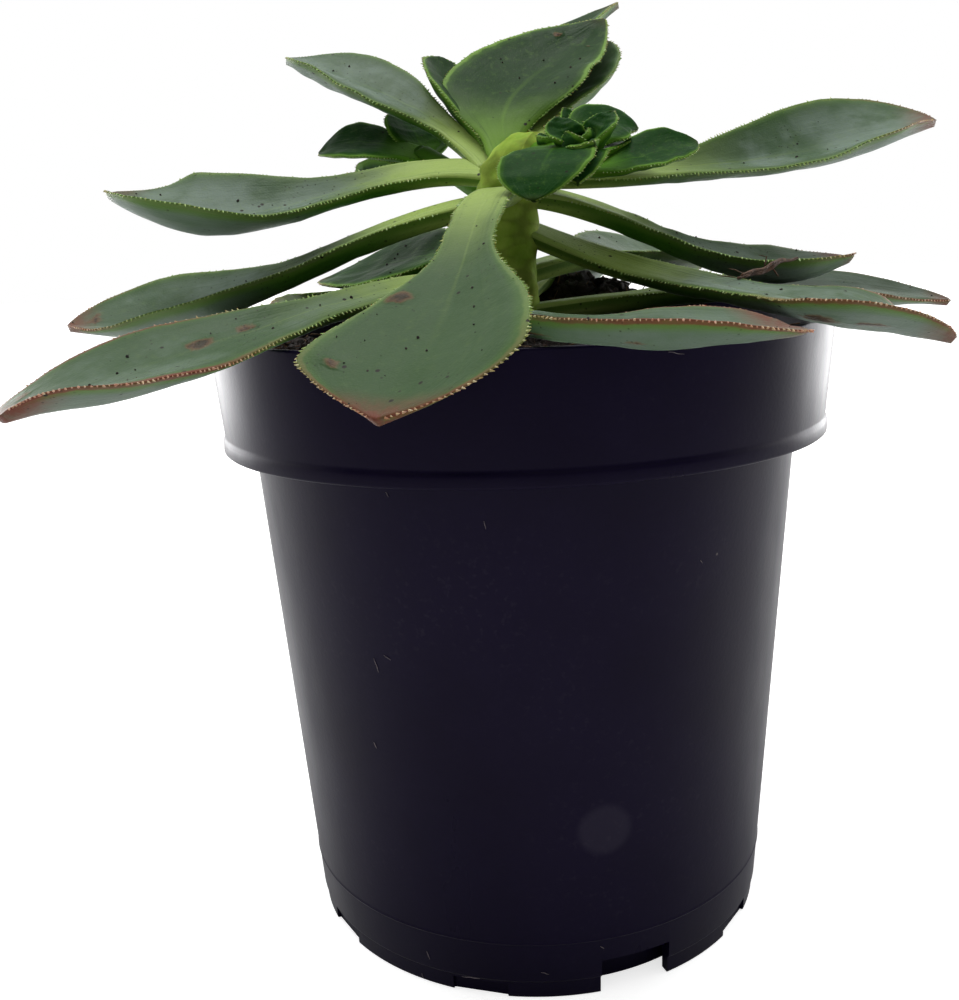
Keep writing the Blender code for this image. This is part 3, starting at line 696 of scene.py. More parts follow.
SIDE_SHOOT = [
    (-1.0, 0.4, 128.4, 1.6), (-6.0, 7.0, 131.6, 1.6), (-12.0, 14.0, 136.5, 1.9),
    (-17.0, 18.6, 139.4, 2.2), (-18.0, 19.4, 141.0, 1.2),
]
SIDE_LEAVES = [
    Small(((-17, 18.5, 139.5), (-24, 18, 141.5), (-31, 18, 142.3), (-37.4, 19, 141)),
          15, (-30, -30, -30), 10, 0.6, 2.0),
    Small(((-16.5, 20, 139), (-18.5, 23.5, 143), (-20.5, 26, 146), (-23, 28, 148.6)),
          14, (0, 0, 0), 14, 0.55, 2.4),
    Small(((-17, 19, 139), (-16, 24, 141), (-14.6, 29, 143), (-13, 33, 144)), 9, (0, 0, 0), 20, 0.6, 2.2),
    Small(((-17, 18, 139), (-22, 24, 138.5), (-27, 29, 138.6), (-32, 33, 138)), 9, (0, 0, 0), 20, 0.6, 2.2),
]
print(len(CROWN_LEAVES), "and", len(SIDE_LEAVES), "small leaves")

# %% [markdown]
# A round tube through a few points makes the necks here, and the stem further down. Its rings turn
# as little as possible from one to the next, so the skin doesn't twist.

# %% Tubes


def along_polyline(centres, v):
    """A rounded path through the centres, evenly timed between them."""
    at = min(max(v, 0.0) * (len(centres) - 1), len(centres) - 1.0001)
    k, t = int(at), at - int(at)
    a, b = centres[k], centres[k + 1]
    enter = (b - centres[max(k - 1, 0)]) * 0.5
    leave = (centres[min(k + 2, len(centres) - 1)] - a) * 0.5
    t2, t3 = t * t, t * t * t
    return a * (2 * t3 - 3 * t2 + 1) + enter * (t3 - 2 * t2 + t) + b * (3 * t2 - 2 * t3) + leave * (t3 - t2)


def tube_skin(path, sides, rings, lump=0.0, seed=0.0):
    """A closed tube through (x, y, z, radius) points, smoothly interpolated, with gentle lumps."""
    centres = [Vector(p[:3]) for p in path]
    points, notes = [], []
    side = Vector((1, 0, 0))
    for r in range(rings + 1):
        v = r / rings
        at = min(v * (len(path) - 1), len(path) - 1.0001)
        k, t = int(at), at - int(at)
        radius = path[k][3] + (path[k + 1][3] - path[k][3]) * smoothstep(0, 1, t)
        here = along_polyline(centres, v)
        ahead = along_polyline(centres, min(v + 0.01, 1.0)) - along_polyline(centres, max(v - 0.01, 0.0))
        ahead.normalize()
        side = (side - ahead * side.dot(ahead)).normalized()
        other = ahead.cross(side)
        for i in range(sides):
            angle = 2 * math.pi * i / sides
            out = math.cos(angle) * side + math.sin(angle) * other
            bulge = 1 + lump * noise.noise((here + out * radius) * 0.35 + Vector((seed, 0, 0)))
            points.append(here + out * radius * bulge)
            notes.append((0.12 + 0.2 * v, 0.3, 0.2, 0.0, 0.0, 0.0))
    ends = [tuple(range(sides)), tuple(rings * sides + i for i in range(sides))]
    return points, ends + quads_between(sides, rings), notes


print("tube rule ready")

# %% Build the rosettes
SUNK_MARGINS = {("crown_rosette", 5, 1)}  # margins of small leaves that lie inside a neighbour
young_margins = []


def build_rosette(name, neck, leaves, seed):
    skins = [tube_skin(neck, 20, 16)]
    for i, small in enumerate(leaves):
        leaf = Leaf(f"{name}_{i}", (0.12, 0.7), -0.3, *small)
        *skin, margins = leaf_skin(leaf, SMALL_KIND, SMALL_RINGS, SMALL_SPREAD, seed + i)
        skins.append(skin)
        young_margins.extend(line for side, line in enumerate(margins) if (name, i, side) not in SUNK_MARGINS)
    return finish_piece(mesh_piece(name + "_skin", skins, CROWN_LEAF), "young_leaf", name)


crown = build_rosette("crown_rosette", CROWN_NECK, CROWN_LEAVES, 40)
side_shoot = build_rosette("side_rosette", SIDE_SHOOT, SIDE_LEAVES, 70)
print("rosette faces:", len(crown.data.polygons), len(side_shoot.data.polygons))

# %% [markdown]
# ## The fringe along every margin
# Stiff hairs about half a millimetre long stand along each margin, close enough to read as a row of
# beads. There are thousands, so a Geometry Nodes tree places them: it resamples each margin line at a
# set spacing and sets a small tapered hair on every point, turned outwards with a little disorder.
# The lines carry the outward direction and the leaf's redness, which the hairs inherit.

# %% Node tree helpers
SOCKETS = {float: "NodeSocketFloat", int: "NodeSocketInt", type(None): "NodeSocketMaterial"}


def new_tree(name, inputs):
    """A geometry tree with these named inputs, and the sockets that give their values."""
    tree = bpy.data.node_groups.new(name, "GeometryNodeTree")
    for way in ("INPUT", "OUTPUT"):
        tree.interface.new_socket("Geometry", in_out=way, socket_type="NodeSocketGeometry")
    for label, value in inputs.items():
        socket = tree.interface.new_socket(label, in_out="INPUT", socket_type=SOCKETS[type(value)])
        if value is not None:
            socket.default_value = value
    return tree, tree.nodes.new("NodeGroupInput").outputs


def real_copies(tree, points, shape, turn, size):
    """The shape on every point, turned and sized, as real geometry."""
    stand = wire(tree, "GeometryNodeInstanceOnPoints", "Instances", {
        "Points": points, "Instance": shape, "Rotation": turn, "Scale": size,
    })
    return wire(tree, "GeometryNodeRealizeInstances", "Geometry", {"Geometry": stand})


def close_tree(tree, given, geometry):
    """Sets the material and sends the geometry out."""
    inputs = {"Geometry": geometry, "Material": given["Material"]}
    painted = wire(tree, "GeometryNodeSetMaterial", "Geometry", inputs)
    wire(tree, "NodeGroupOutput", None, {"Geometry": painted})
    return tree


def run_tree(name, source, tree, values):
    """Applies the tree to a source object and returns the result as a plain mesh object."""
    modifier = source.modifiers.new(name, "NODES")
    modifier.node_group = tree
    for socket in tree.interface.items_tree:
        if socket.in_out == "INPUT" and socket.name in values:
            modifier[socket.identifier] = values[socket.name]
    mesh = baked(source)
    mesh.name = name
    bpy.data.objects.remove(source)
    return link(name, mesh)


print("node tree helpers ready")

# %% The fringe tree
HAIR_SIDES, HAIR_RINGS, HAIR_TIP = 5, 2, 0.00003
HAIR_SIZES = (0.6, 1.15)
MARGIN_INSET = 0.12  # mm that a hair's root lies inside the margin


def fringe_tree():
    tree, given = new_tree("fringe", {
        "Spacing": 0.00075, "Length": 0.00058, "Root radius": 0.00019, "Disorder": 0.35, "Seed": 7,
        "Material": None,
    })
    add = partial(wire, tree)
    line = add("GeometryNodeMeshToCurve", "Curve", {"Mesh": given["Geometry"]})
    inputs = {"Curve": line, "Length": given["Spacing"]}
    even = add("GeometryNodeResampleCurve", "Curve", inputs, mode="LENGTH")
    hair = add("GeometryNodeMeshCone", "Mesh", {
        "Vertices": HAIR_SIDES, "Side Segments": HAIR_RINGS, "Radius Top": HAIR_TIP,
        "Radius Bottom": given["Root radius"], "Depth": given["Length"],
    }, fill_type="NGON")
    inputs = {"Min": (-1, -1, -1), "Max": (1, 1, 1), "Seed": given["Seed"]}
    jitter = add("FunctionNodeRandomValue", "Value", inputs, data_type="FLOAT_VECTOR")
    lean = add("ShaderNodeVectorMath", "Vector", {0: jitter, "Scale": given["Disorder"]}, operation="SCALE")
    inputs = {"Name": "outward"}
    outward = add("GeometryNodeInputNamedAttribute", "Attribute", inputs, data_type="FLOAT_VECTOR")
    aim = add("ShaderNodeVectorMath", "Vector", {0: outward, 1: lean}, operation="ADD")
    turn = add("FunctionNodeAlignRotationToVector", "Rotation", {"Vector": aim}, axis="Z")
    inputs = {2: HAIR_SIZES[0], 3: HAIR_SIZES[1], "Seed": given["Seed"]}
    size = add("FunctionNodeRandomValue", 1, inputs, data_type="FLOAT")
    return close_tree(tree, given, real_copies(tree, even, hair, turn, size))


def margin_lines(lines):
    """All margin lines as one mesh of edges, with the outward direction and redness on its points."""
    points, edges, outward, redness = [], [], [], []
    for line in lines:
        base = len(points)
        for point, way, red in line:
            points.append(tuple((point - way * MARGIN_INSET) * MM))
            outward += list(way)
            redness.append(red)
        edges += [(base + i, base + i + 1) for i in range(len(line) - 1)]
    mesh = bpy.data.meshes.new("margin_lines")
    mesh.from_pydata(points, edges, [])
    mesh.attributes.new("outward", "FLOAT_VECTOR", "POINT").data.foreach_set("vector", outward)
    mesh.attributes.new("redness", "FLOAT", "POINT").data.foreach_set("value", redness)
    return link("margin_lines", mesh)


for name, margins, values in (
    ("fringe", all_margins, {"Seed": 7}),
    ("young_fringe", young_margins, {"Spacing": 0.0006, "Length": 0.0004, "Root radius": 0.00012, "Seed": 8}),
):
    fringe = run_tree(name, margin_lines(margins), fringe_tree(), {"Material": FRINGE, **values})
    finish_piece(fringe, "young_leaf")
    print(name, "faces:", len(fringe.data.polygons))

# %% [markdown]
# ## The stem
# A short fleshy stem, pale green and slightly lumpy where old leaves came away. It is a plain tube with
# noise on its radius, finished with scars as darker crescents in the material.

# %% Stem
STEM_POINTS = [
    (0.0, 0.0, 82.0, 4.2), (0.0, 0.0, 106.0, 4.3), (-0.8, 0.2, 116.0, 4.6), (-1.2, 0.4, 126.0, 5.3),
    (-0.8, 0.0, 132.5, 5.5), (1.2, -2.0, 136.0, 4.8), (4.8, -5.6, 136.8, 3.9),
]


def stem_material():
    w = Wiring("stem")
    patches = w.ramp(w.noise(160.0, 4.0, 0.6), 0.3, 0.7)
    scars = w.ramp(w.cells(190.0, at=w.stretched(1, 1, 2.2)), 0.42, 0.75, 0.0, 0.45)
    return w.shade({
        "Base Color": w.coats((116, 148, 46), (patches, (148, 172, 72)), (scars, (84, 88, 40))),
        "Roughness": 0.75,
        "Specular IOR Level": 0.05,
        "Subsurface Weight": 0.10,
        "Subsurface Scale": 0.0015,
        "Normal": w.bump(w.noise(400.0, 4.0), 0.0004, 0.8),
    })


stem = mesh_piece("stem_skin", [tube_skin(STEM_POINTS, 40, 90, lump=0.10, seed=3.0)], stem_material())
finish_piece(stem, "stem_green", "stem")
print("stem faces:", len(stem.data.polygons))

# %% [markdown]
# ## The pot
# A nursery pot is blown thin from black polypropylene: a deep collar that lets pots be gripped and
# stacked, a tapered body, and a foot cut by drain notches and shallow recesses. One outline turned
# about the axis gives the shape, and Boolean cutters open the foot, as the mould's inserts do.

# %% Pot measures, in millimetres and degrees
RIM_R, POT_H = 55.0, 108.8
COLLAR_FOOT_R, COLLAR_Z = 53.7, 89.3
BODY_TOP_R, BODY_LOW_R = 48.7, 42.9
FOOT_R, STEP_Z = 42.4, 3.4
WALL, FOOT_WALL = 1.1, 1.8
BEAD_H, BEAD_OUT = 2.6, 0.4
FLOOR_Z, FLOOR_THICK = 3.7, 1.2
SKIRT_R, SKIRT_WALL = 38.5, 1.2
RING_Z, RING_OUT = 10.5, 0.18
POT_SIDES, SHARP = 240, 42
DRAINS = [(22, 12.6, 6.5), (142, 12.6, 6.5), (-98, 12.6, 6.5)]
DRAIN_IN_R = 39.4
RECESSES = [(angle, 9.5, 2.6) for angle in (-57, -14, 57, 100, 182, 222)]
RECESS_IN_R = 41.5
SLOPE = (BODY_TOP_R - BODY_LOW_R) / (COLLAR_Z - STEP_Z)
FLOOR_TOP = FLOOR_Z + FLOOR_THICK


def body_r(z):
    """The body's outer radius at a height."""
    return BODY_LOW_R + SLOPE * (z - STEP_Z)


POT_OUTLINE = [  # corners of the wall, each with the radius that rounds it
    (SKIRT_R - SKIRT_WALL, FLOOR_Z, 0.3),
    (SKIRT_R - SKIRT_WALL, 0.0, 0.15),
    (SKIRT_R, 0.0, 0.15),
    (SKIRT_R, FLOOR_Z, 0.3),
    (FOOT_R - FOOT_WALL, FLOOR_Z, 0.3),
    (FOOT_R - FOOT_WALL, 0.0, 0.15),
    (FOOT_R, 0.0, 0.4),
    (FOOT_R + 0.1, STEP_Z - 0.3, 0.2),
    (BODY_LOW_R, STEP_Z, 0.2),
    (body_r(RING_Z), RING_Z, 0.1),
    (body_r(RING_Z) + RING_OUT, RING_Z + 0.25, 0.1),
    (body_r(RING_Z + 0.6), RING_Z + 0.6, 0.1),
    (BODY_TOP_R, COLLAR_Z + 0.2, 0.6),
    (COLLAR_FOOT_R + BEAD_OUT, COLLAR_Z, 0.45),
    (COLLAR_FOOT_R + BEAD_OUT - 0.1, COLLAR_Z + BEAD_H - 0.6, 0.35),
    (COLLAR_FOOT_R, COLLAR_Z + BEAD_H, 0.5),
    (RIM_R, POT_H, 0.45),
    (RIM_R - WALL, POT_H, 0.3),
    (COLLAR_FOOT_R - WALL, COLLAR_Z + WALL, 0.6),
    (BODY_TOP_R - WALL, COLLAR_Z + WALL - 0.6, 0.8),
    (body_r(FLOOR_TOP) - WALL, FLOOR_TOP, 1.2),
]
print("pot:", len(POT_OUTLINE), "corners,", len(DRAINS), "drains,", len(RECESSES), "recesses")

# %% Turn the pot and cut its foot


def rounded(outline, steps=3):
    """The outline with each inner corner as a short arc; the ends stay as they are."""
    points = [Vector(outline[0][:2])]
    for before, corner, after in zip(outline, outline[1:], outline[2:]):
        here = Vector(corner[:2])
        back, on = Vector(before[:2]) - here, Vector(after[:2]) - here
        reach = min(corner[2], back.length * 0.45, on.length * 0.45)
        first, last = here + back.normalized() * reach, here + on.normalized() * reach
        for k in range(steps + 1):
            t = k / steps
            points.append(first * (1 - t) ** 2 + here * 2 * t * (1 - t) + last * t * t)
    points.append(Vector(outline[-1][:2]))
    return points


def link_bmesh(name, bm):
    mesh = bpy.data.meshes.new(name)
    bm.to_mesh(mesh)
    bm.free()
    return link(name, mesh)


def turned(name, outline, sides):
    """A closed body turned about Z."""
    bm = bmesh.new()
    angles = [2 * math.pi * i / sides for i in range(sides)]
    places = [(r * math.cos(a) * MM, r * math.sin(a) * MM, z * MM) for r, z in outline for a in angles]
    verts = [bm.verts.new(place) for place in places]
    for face in quads_between(sides, len(outline) - 1):
        bm.faces.new([verts[k] for k in face])
    bm.faces.new(verts[:sides][::-1])
    bm.faces.new(verts[-sides:])
    bmesh.ops.recalc_face_normals(bm, faces=bm.faces)
    return link_bmesh(name, bm)


def cut_foot(pot, cuts, inner_r):
    """Opens the foot with boxes, each given by its angle, width and height."""
    bm = bmesh.new()
    depth = FOOT_R + 5 - inner_r
    for angle, width, height in cuts:
        place = (
            Matrix.Scale(MM, 4)
            @ Matrix.Rotation(math.radians(angle - 90), 4, "Z")
            @ Matrix.Translation((inner_r + depth / 2, 0, height / 2 - 1))
            @ Matrix.Diagonal((depth, width, height + 2, 1))
        )
        bmesh.ops.create_cube(bm, size=1, matrix=place)
    cutter = link_bmesh("foot_cutter", bm)
    modifier = pot.modifiers.new("cut", "BOOLEAN")
    modifier.operation = "DIFFERENCE"
    modifier.object = cutter
    mesh = baked(pot)
    pot.modifiers.clear()
    pot.data = mesh
    bpy.data.objects.remove(cutter)


pot = turned("pot_skin", rounded(POT_OUTLINE), POT_SIDES)
for cuts, inner_r in ((DRAINS, DRAIN_IN_R), (RECESSES, RECESS_IN_R)):
    cut_foot(pot, cuts, inner_r)
pot.data.shade_smooth()
pot.data.set_sharp_from_angle(angle=math.radians(SHARP))
print("pot faces:", len(pot.data.polygons))

# %% The pot's plastic
PALE_SPOT_NAME = "round_scuff"


def pot_material():
    """Black polypropylene: satin, a touch of violet, with dust, faint scuffs and a faint round pale spot."""
    w = Wiring("pot_plastic")
    cloud = w.noise(28.0, 4.0, 0.6)
    dust = w.times(w.ramp(w.cells(150.0), 0.035, 0.06, 1.0, 0.0), w.ramp(w.noise(60.0, 2.0), 0.55, 0.62))
    film = w.times(w.ramp(w.noise(900.0, 2.0), 0.55, 0.75), w.ramp(cloud, 0.45, 0.7))
    waves = w.bump(w.noise(30.0, 2.0, at=w.stretched(1, 1, 0.5)), 0.0006, 0.35)
    return w.shade({
        "Base Color": w.coats(
            (9, 4, 26),
            (w.ramp(cloud, 0.3, 0.7), (14, 8, 33)),
            (dust, (120, 112, 108)),
            (w.times(film, 0.05), (96, 92, 98)),
            # A faint round pale spot, some 8 mm across, whose centre is set later.
            (w.spot(PALE_SPOT_NAME, 0.0034, 0.0052, 0.028), (170, 164, 178)),
        ),
        "Roughness": w.ramp(w.noise(45.0, 5.0, 0.65, at=w.stretched(1, 1, 0.35)), 0.3, 0.7, 0.27, 0.38),
        "Specular IOR Level": 0.10,
        "Specular Tint": (0.84, 0.78, 1.0, 1),
        "Normal": w.bump(w.noise(1400.0, 2.0), 0.00003, 0.5, waves),
    })


pot.data.materials.append(pot_material())
finish_piece(pot, "pot_plastic", "pot")
print("pot finished in", pot.data.materials[0].name)

# %% [markdown]
# ## The soil
# Potting soil is peat and bark: a dark ground with crumbs from dust up to two millimetres, and pale
# fibres. A finely waved surface gives the ground, and Geometry Nodes scatter crumbs and fibres on it.

# %% Soil ground
SOIL_EDGE_Z, SOIL_CROWN = 104.6, 1.6
SOIL_HEAP, SOIL_HEAP_AT, SOIL_HEAP_WIDTH = 3.5, (8.0, 24.0), 15.0
SOIL_ROUGH, SOIL_GRAIN = 1.1, 5.5
SOIL_SIDES, SOIL_RINGS = 150, 48
GAP = 0.3


def waves(x, y, size, layer):
    """Noise with waves of this size in mm; each layer has its own."""
    return noise.noise(Vector((x / size, y / size, layer)))


def soil_height(x, y):
    """Height of the soil: heaped round the stem and behind it, with a rough surface."""
    reach = (x * x + y * y) / (RIM_R * RIM_R)
    hx, hy = SOIL_HEAP_AT
    heap = SOIL_HEAP * math.exp(-((x - hx) ** 2 + (y - hy) ** 2) / (2 * SOIL_HEAP_WIDTH**2))
    rough = SOIL_ROUGH * waves(x, y, SOIL_GRAIN, 3.7)
    rough += SOIL_ROUGH * 0.6 * waves(x, y, SOIL_GRAIN * 0.45, 9.1)
    return SOIL_EDGE_Z + SOIL_CROWN * (1 - reach) + heap + rough


def soil_point(x, y):
    fine = 0.35 * waves(x, y, 1.1, 1.5) + 0.2 * waves(x, y, 0.5, 5.5)
    return Vector((x, y, soil_height(x, y) + fine - 0.15))


def soil_skin():
    """The soil's whole body, from the pot's floor up to the rim."""
    base_z = FLOOR_TOP + GAP
    shelf_z = COLLAR_Z + WALL + GAP
    bottom = [
        (BODY_LOW_R - WALL - GAP - 1.2, base_z),
        (body_r(base_z + 1.4) - WALL - GAP - 0.1, base_z + 1.4),
        (BODY_TOP_R - WALL - GAP, shelf_z - 0.4),
        (COLLAR_FOOT_R - WALL - 0.8 - GAP, shelf_z + 0.2),
    ]
    angles = [2 * math.pi * i / SOIL_SIDES for i in range(SOIL_SIDES)]
    points = [Vector((r * math.cos(a), r * math.sin(a), z)) for r, z in bottom for a in angles]
    top_r = RIM_R - WALL - GAP - 0.2
    for k in range(SOIL_RINGS):
        r = top_r * (1 - k / SOIL_RINGS)
        points += [soil_point(r * math.cos(a), r * math.sin(a)) for a in angles]
    crown, rows = len(points), len(bottom) + SOIL_RINGS - 1
    points.append(soil_point(0, 0))
    faces = [tuple(range(SOIL_SIDES))] + quads_between(SOIL_SIDES, rows)
    return points, faces + fan(rows * SOIL_SIDES, SOIL_SIDES, crown), []


def soil_material(name, dark, light, pale):
    w = Wiring(name)
    grains, patches = w.noise(500.0, 5.0, 0.7), w.noise(130.0, 3.0)
    return w.shade({
        "Base Color": w.coats(
            dark, (w.ramp(grains, 0.3, 0.7), light), (w.ramp(patches, 0.60, 0.72, 0.0, 0.7), pale)),
        "Roughness": w.ramp(w.noise(300.0), 0.3, 0.7, 0.7, 0.98),
        "Normal": w.bump(w.noise(1500.0, 5.0, 0.7), 0.0004, 0.9),
    })


# The ground, the pale fibres in it, the flecks on the pot, and the dry root
PEAT, FIBRE, FLECK, SHRED = (
    soil_material("peat", (14, 8, 7), (44, 26, 20), (78, 50, 36)),
    soil_material("fibre", (58, 38, 26), (112, 82, 54), (150, 124, 92)),
    soil_material("fleck", (92, 84, 92), (140, 130, 132), (170, 162, 160)),
    soil_material("shred", (54, 34, 24), (104, 74, 52), (150, 122, 98)),
)
soil = finish_piece(mesh_piece("soil_ground", [soil_skin()], PEAT, noted=False), "potting_soil", "soil")
print("soil faces:", len(soil.data.polygons))

# %% [markdown]
# Crumbs and fibres share one scatter tree: points spread over the soil's top, each carrying an
# instance with its own turn and size. What differs is the shape that goes in. The crumbs then get a
# push from noise, so that no two look alike.

# %% Scatter tree
CRUMB_GRAIN, MOSTLY_SMALL = 1400.0, 2.4


def scatter_tree(name, shape, tilt):
    """Scatters a shape over faces, tilted by up to this angle. The shape adds its own nodes."""
    tree, given = new_tree(name, {
        "Per square metre": 1000.0, "Smallest": 0.0005, "Largest": 0.001, "Roughness": 0.0, "Seed": 3,
        "Material": None,
    })
    add = partial(wire, tree)
    spread = add("GeometryNodeDistributePointsOnFaces", "Points", {
        "Mesh": given["Geometry"], "Density": given["Per square metre"], "Seed": given["Seed"],
    })
    inputs = {"Min": (-tilt, -tilt, 0), "Max": (tilt, tilt, 2 * math.pi), "Seed": given["Seed"]}
    spin = add("FunctionNodeRandomValue", "Value", inputs, data_type="FLOAT_VECTOR")
    lot = add("FunctionNodeRandomValue", 1, {"Seed": given["Seed"]}, data_type="FLOAT")
    lot = add("ShaderNodeMath", 0, {0: lot, 1: MOSTLY_SMALL}, operation="POWER")
    inputs = {"Value": lot, "To Min": given["Smallest"], "To Max": given["Largest"]}
    size = add("ShaderNodeMapRange", "Result", inputs)
    strewn = real_copies(tree, spread, shape(add), spin, size)
    grain = add("ShaderNodeTexNoise", "Color", {"Scale": CRUMB_GRAIN})
    centred = add("ShaderNodeVectorMath", "Vector", {0: grain, 1: (0.5, 0.5, 0.5)}, operation="SUBTRACT")
    push = add("ShaderNodeVectorMath", "Vector", {0: centred, "Scale": given["Roughness"]}, operation="SCALE")
    moved = add("GeometryNodeSetPosition", "Geometry", {"Geometry": strewn, "Offset": push})
    return close_tree(tree, given, moved)


def crumb_shape(add, fineness=1):
    """A ball of unit size, flattened a little."""
    ball = add("GeometryNodeMeshIcoSphere", "Mesh", {"Radius": 0.5, "Subdivisions": fineness})
    return add("GeometryNodeTransform", "Geometry", {"Geometry": ball, "Scale": (1.0, 0.8, 0.62)})


def fibre_shape(add):
    """A bent thread of unit length with a three-sided section."""
    bow = add("GeometryNodeCurveQuadraticBezier", "Curve", {
        "Resolution": 5, "Start": (-0.5, 0, 0.0), "Middle": (0.05, 0.25, 0.10), "End": (0.5, -0.05, 0.02),
    })
    ring = add("GeometryNodeCurvePrimitiveCircle", "Curve", {"Resolution": 3, "Radius": 0.022})
    inputs = {"Curve": bow, "Profile Curve": ring, "Fill Caps": True}
    return add("GeometryNodeCurveToMesh", "Mesh", inputs)


print("scatter tree ready")

# %% Crumbs, fibres and lumps on the soil
SOIL_TOP_FROM = 0.100  # metres
FIBRE_REACH = 0.047  # metres; fibres start inside this radius, so that none pokes through the wall
ANY_WAY, NEARLY_FLAT = 3.1, 0.35


def ground_of(pieces, keep):
    """A copy of the pieces that holds only the faces that the test keeps."""
    bm = bmesh.new()
    for piece in pieces:
        bm.from_mesh(piece.data)
    bmesh.ops.delete(bm, geom=[face for face in bm.faces if not keep(face)], context="FACES")
    return link_bmesh("ground", bm)


def strew(name, ground, shape, tilt, density, smallest, largest, roughness, seed, finish):
    """One piece of scattered shapes. Density is per square metre, and sizes are in metres."""
    piece = run_tree(name, ground, scatter_tree(name, shape, tilt), {
        "Per square metre": density, "Smallest": smallest, "Largest": largest,
        "Roughness": roughness, "Seed": seed, "Material": finish,
    })
    finish_piece(piece, "potting_soil")
    print(name, "faces:", len(piece.data.polygons))


def soil_top(face):
    return face.normal.z > 0.2 and face.calc_center_median().z > SOIL_TOP_FROM


def clear_of_wall(face):
    return soil_top(face) and face.calc_center_median().xy.length < FIBRE_REACH


lump_shape = partial(crumb_shape, fineness=3)
for name, keep, *how in (
    ("soil_crumbs", soil_top, crumb_shape, ANY_WAY, 850000.0, 0.0004, 0.0022, 0.0007, 11, PEAT),
    ("soil_fibres", clear_of_wall, fibre_shape, NEARLY_FLAT, 60000.0, 0.0015, 0.008, 0.0010, 23, FIBRE),
    ("soil_lumps", soil_top, lump_shape, ANY_WAY, 9000.0, 0.0016, 0.0050, 0.0022, 31, PEAT),
):
    strew(name, ground_of([soil], keep), *how)

# %% [markdown]
# ## What lies on the plant and the pot
# Potting leaves crumbs of peat on the leaves, a shred of dry root caught between two of them, and pale
# fibres on the pot's wall. The shred and the fibres are each set where they show in the picture: a ray
# from the camera through that place finds the surface that carries it, so it rests there from every
# side. The crumbs are scattered over the leaves' upper faces.

# %% Rays through the picture


def surface_of(name):
    """A search tree over a piece's faces."""
    mesh = bpy.data.objects[name].data
    return BVHTree.FromPolygons([v.co for v in mesh.vertices], [p.vertices for p in mesh.polygons])


def land(surface, px, py, lift=0.0):
    """The point of a surface that shows at a place of the picture, lifted off it by mm."""
    way = VIEW_AHEAD + VIEW_RIGHT * ((px - PICTURE_WIDE / 2) / FOCAL_PX)
    way = (way + VIEW_UP * ((PICTURE_HIGH / 2 - py) / FOCAL_PX)).normalized()
    at, normal, _, _ = surface.ray_cast(CAMERA_AT, way)
    return at / MM + normal * lift


low_leaf, high_leaf = surface_of("leaf_right_low_skin"), surface_of("leaf_right_mid_skin")
wall = surface_of("pot_skin")
pale_spot = land(wall, 605, 830) * MM
pot.data.materials[0].node_tree.nodes[PALE_SPOT_NAME].inputs[1].default_value = pale_spot
print("scuff at", [round(c, 4) for c in pale_spot])

# %% Shreds of root and the pale fibres on the pot
WALL_FIBRE_R, WALL_FIBRE_LIFT, SHRED_LIFT = 0.06, 0.10, 0.3
WALL_FIBRES = [
    ((427, 951), (430, 959)), ((422, 973), (424, 978)), ((462, 976), (480, 978)), ((541, 972), (549, 974)),
    ((374, 658), (379, 672)), ((384, 655), (391, 660)), ((374, 742), (377, 748)), ((484, 521), (486, 529)),
    ((386, 492), (389, 497)), ((700, 560), (702, 563)), ((600, 946), (604, 948)), ((668, 352), (684, 354)),
]


def thread(ends, radius, bends, seed):
    """A thin tube between two points, wandering by noise, thinner at its tips."""
    first, last = ends
    path = []
    for k in range(bends + 1):
        t = k / bends
        drift = Vector([noise.noise(Vector((seed * 7.3 + part, t * 2.6, 1.7))) for part in (0, 9.3, 18.6)])
        wander = drift * (last - first).length * 0.07
        at = first.lerp(last, t) + wander * math.sin(math.pi * t)
        path.append((*at, radius * (0.35 + 0.65 * math.sin(math.pi * min(max(t, 0.08), 0.92)))))
    return tube_skin(path, 6, bends * 2, lump=0.35, seed=seed)


def shred_strands():
    """A main strand from the lower leaf to the upper one, with the strands that branch off it."""
    base, tip = land(low_leaf, 738, 280, SHRED_LIFT), land(high_leaf, 797, 259, SHRED_LIFT)

    def on(share, *away):
        return base.lerp(tip, share) + Vector(away or (0, 0, 0))

    fork = on(0.42)
    return [
        ((base, tip), 0.50, 12),
        ((base + Vector((0.6, 0, 0.5)), on(0.75, 0, 0, 0.5)), 0.30, 10),
        ((fork, fork + Vector((0.4, -0.3, 2.2))), 0.12, 6),
        ((fork + Vector((0.5, 0, 2.0)), fork + Vector((-1.0, -0.4, 2.4))), 0.09, 6),
        ((on(0.55), on(0.60, 0.6, -0.5, -1.8)), 0.16, 6),
        ((base, base + Vector((-3.2, 0.4, 0.6))), 0.10, 8),
        ((on(0.2), base + Vector((-1.6, -0.6, 1.6))), 0.08, 6),
    ]


wall_skins = []
for k, ends in enumerate(WALL_FIBRES):
    ends = [land(wall, *end, WALL_FIBRE_LIFT) for end in ends]
    wall_skins.append(thread(ends, WALL_FIBRE_R, 6, 20.0 + k))
shred_skins = [thread(*strand, 1.0 + k) for k, strand in enumerate(shred_strands())]
finish_piece(mesh_piece("wall_fibres", wall_skins, FLECK, noted=False), "pot_plastic")
finish_piece(mesh_piece("root_shred", shred_skins, SHRED, noted=False), "potting_soil")
print("threads:", len(wall_skins), "on the wall,", len(shred_skins), "in the shred")

# %% [markdown]
# Behind the stem the soil stands higher, where loose peat was pushed up against the stalks. It is a heap
# of separate lumps rather than a bulge of the ground, since light shows between them. Lumps are drawn
# at random and laid from the lowest up, and one that would touch nothing below it is left out.

# %% The heap of loose peat behind the stem
HEAP_AT, HEAP_REACH, HEAP_TOP, HEAP_LUMPS = (12.0, 24.0), (17.0, 9.0), 6.2, 1000
LUMP_SIZES, LUMPS_PER_STRAW, STRAW_LENGTHS, STRAW_R = (0.9, 2.0), 9, (2.5, 5.0), 0.14


